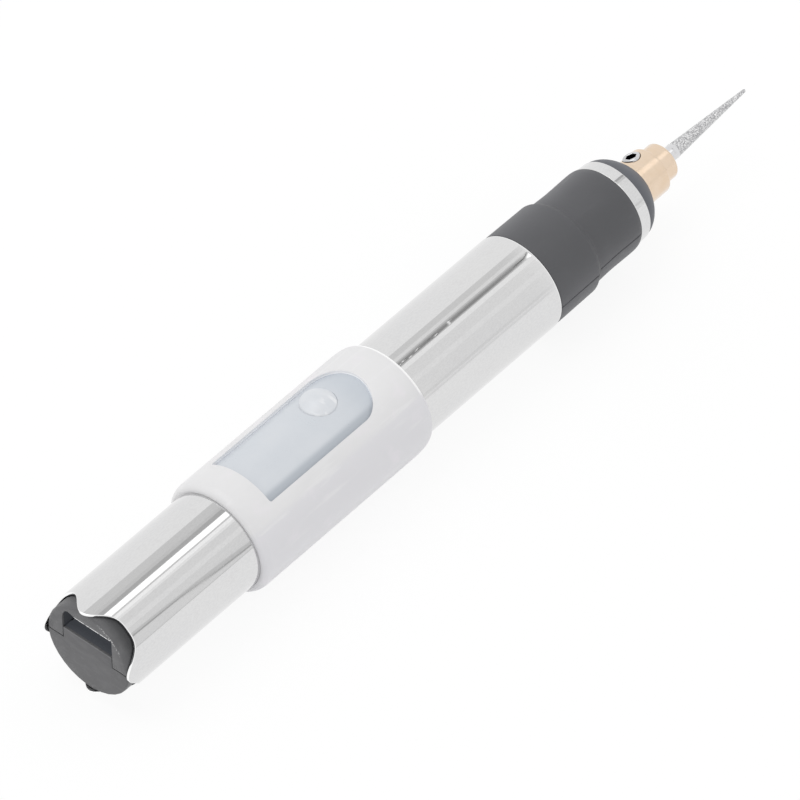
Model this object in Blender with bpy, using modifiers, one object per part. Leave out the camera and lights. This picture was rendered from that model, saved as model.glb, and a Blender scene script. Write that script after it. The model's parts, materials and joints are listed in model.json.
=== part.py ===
# Battery engraving pen: a plated tube with a frosted sleeve, a pull-out cell drawer, a motor in a two-shell grip,
# and a brass chuck that holds a diamond burr. Metres, +Z up. The pen lies on the flat facet under its sleeve,
# with the burr towards +X and the sleeve's window upwards.
import math

import bmesh
import bpy
from mathutils import Matrix, Vector

mm = 0.001

# Clearances
fit_gap = 0.15 * mm  # round pieces pressed into one another
seat_gap = 0.1 * mm  # faces that lie against one another
slide_gap = 0.3 * mm  # pieces that slide or turn past one another
running_gap = 0.05 * mm  # a shaft in its bush, a shank in its bore
overrun = 1.0 * mm  # how far a cutter passes the face that it cuts
sink = 0.3 * mm  # how far a rib or wall runs into the shell that it is moulded with

# Facets
tube_sides = 64
round_sides = 32
slim_sides = 24
small_sides = 16
arc_steps = 6
waist_steps = 8
wire_detail = 1  # the bevel resolution of thin wire
cable_detail = 2
full_turn = 360  # degrees
merge_gap = 0.001 * mm
crease_angle = math.radians(35)  # edges sharper than this stay sharp where a piece is shaded smooth

# Barrel tube
tube_radius = 10.0 * mm
tube_wall = 0.5 * mm
rim_tongue_reach = 0.6 * mm
rim_notch_depth = 3.2 * mm
rim_waves = 4
rim_fullness = 1.3  # the power of the rim's wave: below 2 its tongues are narrower than its notches
rim_turn = 2 * math.pi / tube_sides  # towards the far side

# Frosted sleeve and its window
sleeve_start = 33.35 * mm
sleeve_length = 44.7 * mm
sleeve_wall = 1.35 * mm
sleeve_rear_round = 1.9 * mm
sleeve_rear_lip = 0.3 * mm
sleeve_shoulder = 3.7 * mm
sleeve_front_lip = 0.75 * mm
window_setback = 6.6 * mm
window_length = 30.8 * mm
window_width = 13.7 * mm
window_round = 5.55 * mm
panel_wall = 0.6 * mm

# Push button and its switch
button_setback = 8.8 * mm  # from the window's round end to the button's centre
button_radius = 3.4 * mm
button_travel = 0.5 * mm
button_crown = 1.1 * mm
button_stand = 0.4 * mm  # how far the crown stands out of the sleeve's surface
carrier_length = 14.0 * mm
carrier_width = 10.4 * mm
carrier_wall = 1.3 * mm
carrier_floor = 0.5 * mm
board_length = 15.0 * mm
board_thickness = 0.8 * mm
switch_side = 5.2 * mm
switch_share = 0.385  # of the room between the cells and the tube
plunger_radius = 1.4 * mm
well_floor = 0.3 * mm

# Cells and their drawer
cell_radius = 5.25 * mm
cell_length = 44.5 * mm
cell_nub_radius = 1.9 * mm
cell_nub_length = 1.0 * mm
cell_edge = 0.5 * mm
split_drop = 0.4 * mm  # the tail plug is divided this far below the axis
plate_thickness = 2.0 * mm
plate_round = 0.4 * mm
tab_width = 11.1 * mm
tab_height = 2.6 * mm
spring_space = 6.8 * mm
spring_wire = 0.7 * mm
spring_base_radius = 3.8 * mm
spring_top_radius = 2.6 * mm
spring_turns = 5
spring_points_per_turn = 10
drawer_wall = 1.2 * mm
drawer_end_wall = 1.6 * mm
rib_thickness = 1.2 * mm
rib_floor = 0.3 * mm  # a rib's least height over the trough
rib_count = 6
contact_thickness = 0.3 * mm
contact_width = 5.0 * mm
contact_drop = 6.0 * mm

# Fixed half of the tail plug
insert_length = 7.5 * mm
insert_round = 1.3 * mm
pocket_depth = 5.0 * mm
pocket_height = 6.35 * mm  # from the axis to the pocket's roof
pocket_chamfer = 1.2 * mm

# Bulkhead that the drawer stops against
leaf_space = 1.6 * mm
leaf_thickness = 0.25 * mm
leaf_width = 3.0 * mm
leaf_span = 7.0 * mm
leaf_tail = 1.0 * mm
bulkhead_thickness = 1.2 * mm

# Motor
terminal_space = 8.67 * mm
terminal_length = 1.5 * mm
terminal_share = 0.8  # of the armature's radius
terminal_width = 2.0 * mm
terminal_thickness = 0.5 * mm
motor_length = 23.0 * mm
motor_share = 0.73  # of the tube's radius
can_wall = 0.6 * mm
can_front_wall = 0.8 * mm
can_round = 0.8 * mm
boss_radius = 3.0 * mm
boss_length = 1.2 * mm
bush_wall = 0.95 * mm
bush_length = 2.8 * mm
bell_flange = 1.5 * mm
bell_spigot = 1.2 * mm
magnet_setback = 4.0 * mm
magnet_length = 16.0 * mm
magnet_share = 0.158  # of the motor's radius
magnet_span = math.radians(130)
air_gap = 0.45 * mm
core_setback = 7.0 * mm
core_length = 11.0 * mm
hub_share = 0.42  # this and the next four are shares of the armature's radius
neck_share = 0.32
shoe_share = 0.18
winding_share = 0.16
commutator_share = 0.4
pole_count = 3
pole_span = math.radians(96)
commutator_length = 3.2 * mm
commutator_slot = 0.3 * mm
shaft_radius = 1.0 * mm
shaft_tail = 2.6 * mm

# Leads
lead_radius = 0.5 * mm
lead_offset = 3.0 * mm
lead_bend = 2.0 * mm
lead_hole_gap = 0.4 * mm
lead_steps = 5

# Grip
grip_inset = 0.13 * mm  # how far the grip's rear edge lies inside the tube's surface
grip_collar = 10.4 * mm
grip_collar_taper = 0.1 * mm
grip_waist = 13.3 * mm
grip_step = 1.6 * mm  # length over which the collar falls to the waist
grip_wall = 1.45 * mm  # at the narrowest point of the waist
waist_rise_rear = 0.12 * mm
waist_rise_front = 0.07 * mm
waist_place = 6.0 * mm  # from the collar to the narrowest point
flare_place = 11.7 * mm  # from the collar to the widest point of the flare
grip_front_round = 0.3 * mm
grip_front_run = 1.4 * mm  # length of the rounded front edge
grip_rear_round = 0.15 * mm
spigot_length = 6.4 * mm
nose_spigot = 3.3 * mm
grip_lead = 3.8 * mm  # from the motor's front to the grip's front edge

# Trim ring and nose
ring_width = 2.6 * mm
ring_taper = 0.1 * mm
ring_edge = 0.15 * mm
nose_length = 4.45 * mm
nose_inset = 0.17 * mm
nose_lip = 0.12 * mm
nose_gap = 0.3 * mm
nose_wall = 1.0 * mm
nose_fullness = 1.9  # the power of the nose's curve
nose_land = 0.75 * mm  # length of the straight hole round the chuck

# Chuck and its screw
chuck_share = 0.475  # of the tube's radius
chuck_tail = 3.8 * mm  # how far the chuck reaches back into the nose
chuck_reach = 5.75 * mm
collet_share = 0.79  # of the chuck's radius
collet_length = 3.4 * mm
chuck_round = 0.45 * mm
chuck_chamfer = 0.3 * mm
shaft_grip = 2.9 * mm  # length of shaft inside the chuck
bore_step = 0.2 * mm
screw_radius = 1.7 * mm
screw_place = 3.3 * mm  # from the nose's front to the screw's centre
screw_sink = 0.15 * mm
screw_tip_gap = 0.25 * mm
screw_chamfer = 0.2 * mm
socket_across_flats = 2.0 * mm
socket_depth = 1.2 * mm
screw_turn = math.radians(32)  # from the window's side towards the far side

# Diamond burr
shank_radius = 1.5 * mm
shank_gap = 0.6 * mm  # between the motor shaft and the shank inside the chuck
shank_show = 3.2 * mm
grit_length = 20.3 * mm
grit_radius = 1.48 * mm
grit_tip_radius = 0.34 * mm
grit_tip_round = 0.3 * mm
shank_edge = 0.15 * mm

# Radii that follow
tube_bore = tube_radius - tube_wall
sleeve_bore = tube_radius + fit_gap
sleeve_radius = sleeve_bore + sleeve_wall
plug_radius = tube_bore - fit_gap
drawer_radius = tube_bore - slide_gap
drawer_bore = drawer_radius - drawer_wall
cradle_radius = cell_radius + fit_gap + running_gap
cell_drop = drawer_bore - rib_floor - cradle_radius
cell_top = cell_radius - cell_drop
motor_radius = motor_share * tube_radius
motor_bore = motor_radius + fit_gap
bush_bore = shaft_radius + running_gap
bush_radius = bush_bore + bush_wall
bush_seat = bush_radius + seat_gap
can_bore = motor_radius - can_wall
magnet_radius = can_bore - seat_gap
magnet_bore = magnet_radius - magnet_share * motor_radius
core_radius = magnet_bore - air_gap
core_hub = hub_share * core_radius
pole_neck = neck_share * core_radius
pole_shoe = shoe_share * core_radius
winding_radius = winding_share * core_radius
commutator_radius = commutator_share * core_radius
brush_reach = commutator_radius + 2 * seat_gap
terminal_offset = terminal_share * core_radius
waist_radius = motor_bore + grip_wall
flare_radius = waist_radius + waist_rise_front
step_radius = waist_radius + waist_rise_rear
grip_front_radius = flare_radius - grip_front_round
collar_radius = tube_radius - grip_inset
ring_radius = grip_front_radius
nose_radius = ring_radius - ring_taper - nose_inset
chuck_radius = chuck_share * tube_radius
collet_radius = collet_share * chuck_radius
nose_hole = chuck_radius + nose_gap
nose_lip_radius = nose_hole + nose_lip
nose_bore = motor_radius - nose_wall
shank_bore = shank_radius + running_gap
panel_radius = sleeve_bore + panel_wall

# Stations along the axis, counted from the tail plug's face towards the burr
rear_cell = plate_thickness + spring_space
front_cell = rear_cell + cell_length + seat_gap
contact_station = front_cell + cell_length + seat_gap
end_wall_station = contact_station + contact_thickness + seat_gap
drawer_length = end_wall_station + drawer_end_wall
bulkhead_station = drawer_length + leaf_space
bulkhead_front = bulkhead_station + bulkhead_thickness
motor_rear = bulkhead_front + terminal_space
motor_front = motor_rear + motor_length
grip_front = motor_front + grip_lead
step_station = grip_front - grip_waist
grip_shoulder = step_station - grip_collar
tube_front = grip_shoulder - seat_gap
ring_rear = grip_front + seat_gap
ring_front = ring_rear + ring_width
nose_rear = ring_front + seat_gap
nose_front = nose_rear + nose_length
chuck_rear = nose_front - chuck_tail
chuck_step = nose_front + chuck_reach
chuck_front = chuck_step + collet_length
shaft_end = chuck_rear + shaft_grip
shank_rear = shaft_end + shank_gap
screw_station = nose_front + screw_place
grit_start = chuck_front + shank_show
burr_tip = grit_start + grit_length
sleeve_front = sleeve_start + sleeve_length
window_rear = sleeve_start + window_setback
window_front = window_rear + window_length
button_station = window_front - button_setback

# Heights above the axis in the switch's stack
carrier_base = cell_top + slide_gap
board_base = carrier_base + carrier_floor + seat_gap
switch_base = board_base + board_thickness + seat_gap
switch_height = switch_share * (tube_bore - cell_top)
switch_top = switch_base + switch_height
plunger_well = switch_height - well_floor
plunger_length = plunger_well - 2 * seat_gap
button_base = switch_top + button_travel + seat_gap
button_top = sleeve_radius + button_stand
lead_height = cell_top + slide_gap + lead_radius

# The pen's own frame: x up through the window, y to the near side, z along the axis towards the burr
middle_station = (burr_tip - rim_tongue_reach) / 2
axis_height = sleeve_radius * math.cos(math.pi / round_sides)
pen_turn = (math.pi, -math.pi / 2, 0)
upright = (0, math.pi / 2, 0)  # turns a piece's own z to the pen's x
from_above = Matrix(((0, 0, 1, 0), (0, -1, 0, 0), (1, 0, 0, 0), (0, 0, 0, 1)))
from_side = Matrix(((0, 1, 0, 0), (0, 0, 1, 0), (1, 0, 0, 0), (0, 0, 0, 1)))

# Finishes: linear colour, roughness, metallic, alpha
plated = ((0.72, 0.72, 0.73), 0.12, 1.0, 1.0)
frosted = ((0.80, 0.81, 0.82), 0.45, 0.0, 0.75)
smoked = ((0.45, 0.50, 0.58), 0.4, 0.0, 1.0)
milky = ((0.62, 0.65, 0.70), 0.35, 0.0, 1.0)
dark_grip = ((0.055, 0.056, 0.058), 0.6, 0.0, 1.0)
slate = ((0.075, 0.078, 0.085), 0.42, 0.0, 1.0)
grey_plug = ((0.11, 0.11, 0.115), 0.5, 0.0, 1.0)
black_moulding = ((0.03, 0.03, 0.03), 0.5, 0.0, 1.0)
brass = ((0.83, 0.60, 0.33), 0.25, 1.0, 1.0)
dark_steel = ((0.30, 0.30, 0.31), 0.35, 1.0, 1.0)
bright_steel = ((0.62, 0.62, 0.63), 0.25, 1.0, 1.0)
grit = ((0.32, 0.32, 0.33), 0.7, 0.6, 1.0)
green_board = ((0.03, 0.14, 0.06), 0.4, 0.0, 1.0)
cell_wrap = ((0.10, 0.16, 0.30), 0.35, 0.4, 1.0)
copper = ((0.70, 0.30, 0.14), 0.35, 1.0, 1.0)
bronze = ((0.45, 0.28, 0.12), 0.5, 1.0, 1.0)
ferrite = ((0.05, 0.05, 0.05), 0.7, 0.0, 1.0)
red_lead = ((0.45, 0.02, 0.02), 0.5, 0.0, 1.0)
black_lead = ((0.02, 0.02, 0.02), 0.5, 0.0, 1.0)


def empty_scene():
    for item in list(bpy.data.objects):
        bpy.data.objects.remove(item, do_unlink=True)
    parts = bpy.data.collections.new("engraving_pen")
    tools = bpy.data.collections.new("cutters")
    bpy.context.scene.collection.children.link(parts)
    bpy.context.scene.collection.children.link(tools)
    return parts, tools


parts, tools = empty_scene()
pen_axis = bpy.data.objects.new("pen_axis", None)
pen_axis.location = (-middle_station, 0, axis_height)
pen_axis.rotation_euler = pen_turn
parts.objects.link(pen_axis)


def principled(name, finish):
    colour, roughness, metallic, alpha = finish
    material = bpy.data.materials.new(name)
    material.use_nodes = True
    shader = material.node_tree.nodes["Principled BSDF"]
    shader.inputs["Base Color"].default_value = (*colour, 1)
    shader.inputs["Roughness"].default_value = roughness
    shader.inputs["Metallic"].default_value = metallic
    shader.inputs["Alpha"].default_value = alpha
    return material


def place(name, data, finish=None, location=(0, 0, 0), rotation=(0, 0, 0)):
    """Puts a mesh or curve on the pen's axis: a part if it has a finish, and otherwise a cutter."""
    item = bpy.data.objects.new(name, data)
    item.location = location
    item.rotation_euler = rotation
    item.parent = pen_axis
    if finish is None:
        tools.objects.link(item)
        item.hide_render = True
        item.display_type = "WIRE"
    else:
        parts.objects.link(item)
        data.materials.append(principled(name, finish))
    return item


def combine(piece, tool, operation="DIFFERENCE"):
    step = piece.modifiers.new(tool.name, "BOOLEAN")
    step.operation = operation
    step.object = tool
    step.solver = "EXACT"


def smooth(mesh):
    mesh.shade_smooth()
    mesh.set_sharp_from_angle(angle=crease_angle)


def evaluated_mesh(item):
    """A new mesh of the object as its modifiers or its curve make it."""
    bpy.context.view_layer.update()
    evaluated = item.evaluated_get(bpy.context.evaluated_depsgraph_get())
    return bpy.data.meshes.new_from_object(evaluated)


def arc(centre, radii, start, end, steps=arc_steps):
    """Points of an elliptic arc between two angles in degrees."""
    points = []
    for index in range(steps + 1):
        angle = math.radians(start + (end - start) * index / steps)
        points.append((centre[0] + radii[0] * math.cos(angle), centre[1] + radii[1] * math.sin(angle)))
    return points


def loop_area(outline):
    pairs = zip(outline, outline[1:] + outline[:1])
    return sum(first[0] * second[1] - second[0] * first[1] for first, second in pairs) / 2


def turned(name, outline, finish=None, sides=round_sides, location=(0, 0, 0), rotation=(0, 0, 0)):
    """Turns an outline of (station, radius) points about the piece's z. Ends on the axis stay open there."""
    solid_core = outline[0][1] == 0 and outline[-1][1] == 0
    if loop_area(outline) < 0:
        outline = outline[::-1]
    phase = math.pi / sides
    shape = bmesh.new()
    corners = []
    for station, radius in outline:
        corners.append(shape.verts.new((radius * math.cos(phase), radius * math.sin(phase), station)))
    for first, second in zip(corners, corners[1:]):
        shape.edges.new((first, second))
    if not solid_core:
        shape.edges.new((corners[-1], corners[0]))
    mesh = bpy.data.meshes.new(name)
    shape.to_mesh(mesh)
    shape.free()
    item = place(name, mesh, finish, location, rotation)
    screw = item.modifiers.new("turn", "SCREW")
    screw.axis = "Z"
    screw.steps = sides
    screw.render_steps = sides
    screw.use_merge_vertices = True
    screw.merge_threshold = merge_gap
    item.data = evaluated_mesh(item)
    item.modifiers.clear()
    smooth(item.data)
    return item


def outline_mesh(name, outlines, low, high, turn=None):
    """A flat shape of closed outlines, inner ones as holes, drawn out from low to high along its own z."""
    curve = bpy.data.curves.new(name, "CURVE")
    curve.dimensions = "2D"
    curve.fill_mode = "BOTH"
    curve.extrude = (high - low) / 2
    for outline in outlines:
        spline = curve.splines.new("POLY")
        spline.points.add(len(outline) - 1)
        for point, (across, along) in zip(spline.points, outline):
            point.co = (across, along, 0, 1)
        spline.use_cyclic_u = True
    guide = bpy.data.objects.new(name, curve)
    tools.objects.link(guide)
    mesh = evaluated_mesh(guide)
    bpy.data.objects.remove(guide, do_unlink=True)
    mesh.name = name
    mesh.transform(Matrix.Translation((0, 0, (high + low) / 2)))
    if turn is not None:
        mesh.transform(turn)
    shape = bmesh.new()
    shape.from_mesh(mesh)
    bmesh.ops.remove_doubles(shape, verts=shape.verts, dist=merge_gap)
    bmesh.ops.recalc_face_normals(shape, faces=shape.faces)
    shape.to_mesh(mesh)
    shape.free()
    mesh.materials.clear()
    smooth(mesh)
    return mesh


def block_mesh(name, low, high):
    """A box between two corners in the pen's own frame."""
    shape = bmesh.new()
    bmesh.ops.create_cube(shape, size=1)
    low, high = Vector(low), Vector(high)
    bmesh.ops.scale(shape, vec=high - low, verts=shape.verts)
    bmesh.ops.translate(shape, vec=(low + high) / 2, verts=shape.verts)
    mesh = bpy.data.meshes.new(name)
    shape.to_mesh(mesh)
    shape.free()
    return mesh


def rod(name, radius, low, high, sides=round_sides, location=(0, 0, 0), rotation=(0, 0, 0)):
    """A cylindrical cutter along the piece's own z."""
    shape = bmesh.new()
    bmesh.ops.create_cone(
        shape, cap_ends=True, segments=sides, radius1=radius, radius2=radius, depth=high - low,
        matrix=Matrix.Translation((0, 0, (high + low) / 2)) @ Matrix.Rotation(math.pi / sides, 4, "Z"),
    )
    mesh = bpy.data.meshes.new(name)
    shape.to_mesh(mesh)
    shape.free()
    return place(name, mesh, None, location, rotation)


def wire_curve(name, points, radius, resolution, finish, closed=False):
    curve = bpy.data.curves.new(name, "CURVE")
    curve.dimensions = "3D"
    curve.bevel_depth = radius
    curve.bevel_resolution = resolution
    curve.use_fill_caps = not closed
    spline = curve.splines.new("POLY")
    spline.points.add(len(points) - 1)
    for point, place_of_point in zip(spline.points, points):
        point.co = (*place_of_point, 1)
    spline.use_cyclic_u = closed
    return place(name, curve, finish)


def chord_angle(radius, height):
    """The angle from the pen's x at which a circle of this radius stands at this height."""
    return math.degrees(math.acos(height / radius))


def lower_segment(radius, height):
    """A circle's part below a height, as (x, y) points."""
    start = chord_angle(radius, height)
    return arc((0, 0), (radius, radius), start, full_turn - start, steps=tube_sides // 2)


def make_barrel_tube():
    """A thin tube whose tail rim runs in waves, with a round hole under the push button."""
    shape = bmesh.new()
    ends = [(tube_radius, 0), (tube_radius, tube_front), (tube_bore, tube_front), (tube_bore, 0)]
    corners = [shape.verts.new((radius, 0, station)) for radius, station in ends]
    for first, second in zip(corners, corners[1:] + corners[:1]):
        shape.edges.new((first, second))
    outline = shape.verts[:] + shape.edges[:]
    bmesh.ops.spin(
        shape, geom=outline, axis=(0, 0, 1), cent=(0, 0, 0), steps=tube_sides, angle=2 * math.pi, use_merge=True,
    )
    bmesh.ops.remove_doubles(shape, verts=shape.verts, dist=merge_gap)
    bmesh.ops.recalc_face_normals(shape, faces=shape.faces)
    for corner in shape.verts:
        if corner.co.z < tube_wall:
            angle = math.atan2(corner.co.y, corner.co.x) + rim_turn
            wave = abs(math.sin(rim_waves * angle / 2)) ** rim_fullness
            corner.co.z = (rim_tongue_reach + rim_notch_depth) * wave - rim_tongue_reach
    mesh = bpy.data.meshes.new("barrel_tube")
    shape.to_mesh(mesh)
    shape.free()
    tube = place("barrel_tube", mesh, plated)
    combine(tube, button_hole)
    smooth(mesh)


def window_outline(inset):
    """The window seen from above, as (station, y) points: square at the rear, rounded at the front."""
    half = window_width / 2 - inset
    round_centre = window_front - window_round
    nose = arc((round_centre, 0), (window_round - inset, half), -90, 90, steps=2 * arc_steps)
    return [(window_rear + inset, half), (window_rear + inset, -half)] + nose


def make_frosted_sleeve():
    """A thick clouded sleeve with a long shoulder in front, a rounded rear edge and the window cut through."""
    shoulder = arc(
        (sleeve_front - sleeve_shoulder, sleeve_bore + sleeve_front_lip),
        (sleeve_shoulder, sleeve_wall - sleeve_front_lip), 0, 90,
    )
    rear = arc(
        (sleeve_start + sleeve_rear_round, sleeve_bore + sleeve_rear_lip),
        (sleeve_rear_round, sleeve_wall - sleeve_rear_lip), 90, 180,
    )
    outline = [(sleeve_front, sleeve_bore)] + shoulder + rear + [(sleeve_start, sleeve_bore)]
    sleeve = turned("frosted_sleeve", outline, frosted)
    opening = outline_mesh("window_opening", [window_outline(0)], tube_bore / 2, sleeve_radius + overrun, from_above)
    combine(sleeve, place("window_opening", opening))


def make_window_panel():
    """The curved panel that lies on the tube inside the window, with a hole for the push button."""
    outline = [
        (window_front, sleeve_bore), (window_front, panel_radius), (window_rear, panel_radius),
        (window_rear, sleeve_bore),
    ]
    panel = turned("window_panel", outline, smoked)
    blank = outline_mesh(
        "panel_blank", [window_outline(fit_gap)], tube_bore / 2, sleeve_radius + overrun, from_above
    )
    combine(panel, place("panel_blank", blank), "INTERSECT")
    combine(panel, button_hole)


def make_switch():
    """The domed button, the switch's plunger, and the switch on its board in the carrier under the tube's roof."""
    crown = arc((button_top - button_crown, 0), (button_crown, button_radius), 90, 0)
    outline = [(button_base, 0), (button_base, button_radius)] + crown[:-1] + [(button_top, 0)]
    turned("switch_button", outline, milky, location=(0, 0, button_station), rotation=upright)
    plunger_top = button_base - seat_gap
    plunger = [
        (plunger_top - plunger_length, 0), (plunger_top - plunger_length, plunger_radius),
        (plunger_top, plunger_radius), (plunger_top, 0),
    ]
    turned(
        "switch_plunger", plunger, black_moulding, small_sides, location=(0, 0, button_station), rotation=upright
    )
    half = switch_side / 2
    body = block_mesh(
        "tactile_switch", (switch_base, -half, button_station - half), (switch_top, half, button_station + half)
    )
    well = rod(
        "plunger_well", plunger_radius + slide_gap, switch_top - plunger_well, switch_top + overrun,
        location=(0, 0, button_station), rotation=upright,
    )
    combine(place("tactile_switch", body, black_moulding), well)
    board_half = carrier_width / 2 - carrier_wall - seat_gap
    board = block_mesh(
        "switch_board",
        (board_base, -board_half, button_station - board_length / 2),
        (board_base + board_thickness, board_half, button_station + board_length / 2),
    )
    place("switch_board", board, green_board)
    outer = carrier_width / 2
    inner = outer - carrier_wall
    roof = [(math.sqrt(plug_radius ** 2 - side ** 2), side) for side in (outer, inner)]
    near_wall = [(carrier_base, outer)] + roof + [(carrier_base + carrier_floor, inner)]
    far_wall = [(height, -side) for height, side in reversed(near_wall)]
    carrier = outline_mesh(
        "switch_carrier", [near_wall + far_wall],
        button_station - carrier_length / 2, button_station + carrier_length / 2,
    )
    place("switch_carrier", carrier, black_moulding)


def plug_outline(length, edge_round):
    """A short plug whose rear edge is rounded, as (station, radius) points."""
    edge = arc((edge_round, plug_radius - edge_round), (edge_round, edge_round), 180, 90)
    return [(0, 0)] + edge + [(length, plug_radius), (length, 0)]


def make_tail_insert():
    """The fixed upper half of the tail plug: a finger pocket in its face, and a channel that the cells pass."""
    insert = turned("tail_insert", plug_outline(insert_length, insert_round), grey_plug)
    floor = seat_gap + fit_gap - split_drop
    below = block_mesh(
        "below_insert", (-tube_radius, -tube_radius, -overrun), (floor, tube_radius, insert_length + overrun)
    )
    combine(insert, place("below_insert", below))
    side = tab_width / 2 + fit_gap
    pocket = [
        (floor - overrun, -side), (pocket_height - pocket_chamfer, -side), (pocket_height, pocket_chamfer - side),
        (pocket_height, side), (floor - overrun, side),
    ]
    combine(insert, place("finger_pocket", outline_mesh("finger_pocket", [pocket], -overrun, pocket_depth)))
    channel = block_mesh(
        "cell_channel", (floor - overrun, -side, -overrun), (cell_top + slide_gap, side, insert_length + overrun)
    )
    combine(insert, place("cell_channel", channel))


def make_battery_drawer():
    """The tail plate with its finger tab, and an open trough with cradle ribs for two cells in line."""
    drawer = turned("battery_drawer", plug_outline(plate_thickness, plate_round), grey_plug)
    above = block_mesh(
        "above_plate", (-split_drop, -tube_radius, -overrun), (tube_radius, tube_radius, plate_thickness + overrun)
    )
    combine(drawer, place("above_plate", above))
    tab = block_mesh(
        "finger_tab", (-split_drop - sink, -tab_width / 2, 0), (tab_height - split_drop, tab_width / 2, plate_thickness)
    )
    combine(drawer, place("finger_tab", tab), "UNION")
    outer = lower_segment(drawer_radius, -split_drop)
    inner = lower_segment(drawer_bore, -split_drop)
    trough = outline_mesh("trough", [outer + inner[::-1]], plate_thickness - sink, drawer_length)
    combine(drawer, place("trough", trough), "UNION")
    wall = outline_mesh(
        "end_wall", [lower_segment(drawer_bore + sink, -split_drop)], end_wall_station, drawer_length
    )
    combine(drawer, place("end_wall", wall), "UNION")
    cradle = arc((-cell_drop, 0), (cradle_radius, cradle_radius), 270, 90, steps=2 * arc_steps)
    rib = lower_segment(drawer_bore + sink, -split_drop) + [(-split_drop, -cradle_radius)]
    rib += cradle + [(-split_drop, cradle_radius)]
    spacing = (end_wall_station - rear_cell) / rib_count
    for index in range(rib_count):
        start = rear_cell + spacing * (index + 1 / 2)
        name = f"rib_{index + 1}"
        combine(drawer, place(name, outline_mesh(name, [rib], start, start + rib_thickness)), "UNION")


def make_cells():
    """Two slim cells in line, their small ends towards the burr."""
    for name, start in (("battery_rear", rear_cell), ("battery_front", front_cell)):
        shoulder = cell_length - cell_nub_length
        outline = [
            (0, 0), (0, cell_radius - cell_edge), (cell_edge, cell_radius), (shoulder - cell_edge, cell_radius),
            (shoulder, cell_radius - cell_edge), (shoulder, cell_nub_radius), (cell_length, cell_nub_radius),
            (cell_length, 0),
        ]
        turned(name, outline, cell_wrap, slim_sides, location=(-cell_drop, 0, start))


def least_gap(points, wire, turn_points):
    """The least clear distance between a coil's neighbouring turns."""
    gaps = []
    for index, first in enumerate(points):
        for second in points[index + turn_points // 2:]:
            gaps.append((first - second).length - wire)
    return min(gaps)


def make_battery_spring():
    """A tapered coil between the drawer's plate and the rear cell."""
    start = plate_thickness + slide_gap + spring_wire / 2
    rise = spring_space - 2 * slide_gap - spring_wire
    total = spring_turns * spring_points_per_turn
    points = []
    for index in range(total + 1):
        share = index / total
        angle = 2 * math.pi * spring_turns * share
        radius = spring_base_radius + (spring_top_radius - spring_base_radius) * share
        points.append(
            Vector((radius * math.cos(angle) - cell_drop, radius * math.sin(angle), start + rise * share))
        )
    wire_curve("battery_spring", points, spring_wire / 2, wire_detail, bright_steel)
    gap = least_gap(points, spring_wire, spring_points_per_turn)
    print("battery_spring least gap between turns, mm:", round(gap / mm, 2))


def make_contacts():
    """The strap over the drawer's front wall, and the bowed leaf on the bulkhead that presses on it."""
    near = contact_station
    far = drawer_length + seat_gap
    top = seat_gap - split_drop
    strap = [
        (near, -contact_drop), (near, top + contact_thickness), (far + contact_thickness, top + contact_thickness),
        (far + contact_thickness, -contact_drop), (far, -contact_drop), (far, top),
        (near + contact_thickness, top), (near + contact_thickness, -contact_drop),
    ]
    half = contact_width / 2
    place("drawer_contact", outline_mesh("drawer_contact", [strap], -half, half, from_side), brass)
    foot = bulkhead_station - seat_gap - leaf_thickness
    peak = drawer_length + 2 * seat_gap + contact_thickness
    span = leaf_span / 2
    centre = (foot, -contact_drop / 2)
    bow = arc(centre, (peak - foot, span), -90, 90, steps=2 * arc_steps)
    inner_centre = (foot + leaf_thickness, centre[1])
    back = arc(inner_centre, (peak - foot, span - leaf_thickness), 90, -90, steps=2 * arc_steps)
    high_tail = [(foot, centre[1] + span + leaf_tail), (foot + leaf_thickness, centre[1] + span + leaf_tail)]
    low_tail = [(foot + leaf_thickness, centre[1] - span - leaf_tail), (foot, centre[1] - span - leaf_tail)]
    leaf = bow + high_tail + back + low_tail
    half = leaf_width / 2
    place("bulkhead_contact", outline_mesh("bulkhead_contact", [leaf], -half, half, from_side), brass)


def make_bulkhead():
    """The partition between the cells and the motor, with a hole for each lead."""
    outline = [
        (bulkhead_station, 0), (bulkhead_station, plug_radius), (bulkhead_front, plug_radius), (bulkhead_front, 0),
    ]
    bulkhead = turned("bulkhead", outline, black_moulding)
    for name, side in (("near_lead_hole", lead_offset), ("far_lead_hole", -lead_offset)):
        hole = rod(
            name, lead_radius + lead_hole_gap, bulkhead_station - overrun, bulkhead_front + overrun, small_sides,
            location=(lead_height, side, 0),
        )
        combine(bulkhead, hole)


def make_leads():
    """One lead from the switch's board and one from the bulkhead's leaf, through the bulkhead to the motor."""
    terminal_end = motor_rear - bell_flange - seat_gap - terminal_length
    last = terminal_end - fit_gap
    level = last - 2 * lead_radius
    for name, side, finish in (("switch_wire", lead_offset, red_lead), ("battery_wire", -lead_offset, black_lead)):
        terminal = math.copysign(terminal_offset, side)
        board_edge = button_station + board_length / 2
        points = [Vector((board_base + board_thickness / 2, side, board_edge + fit_gap))]
        points.append(Vector((board_base + board_thickness / 2, side, board_edge + lead_bend)))
        points.append(Vector((lead_height, side, board_edge + 2 * lead_bend)))
        for step in range(1, lead_steps + 1):
            share = step / lead_steps
            station = board_edge + 2 * lead_bend + (bulkhead_front - board_edge - 2 * lead_bend) * share
            points.append(Vector((lead_height, side, station)))
        for step in range(1, lead_steps):
            share = step / lead_steps
            ease = (1 - math.cos(math.pi * share)) / 2
            station = bulkhead_front + (level - bulkhead_front) * share
            points.append(Vector((lead_height * (1 - ease), side + (terminal - side) * ease, station)))
        points += [Vector((0, terminal, level)), Vector((0, terminal, last))]
        wire_curve(name, points, lead_radius, wire_detail, finish)


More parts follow.
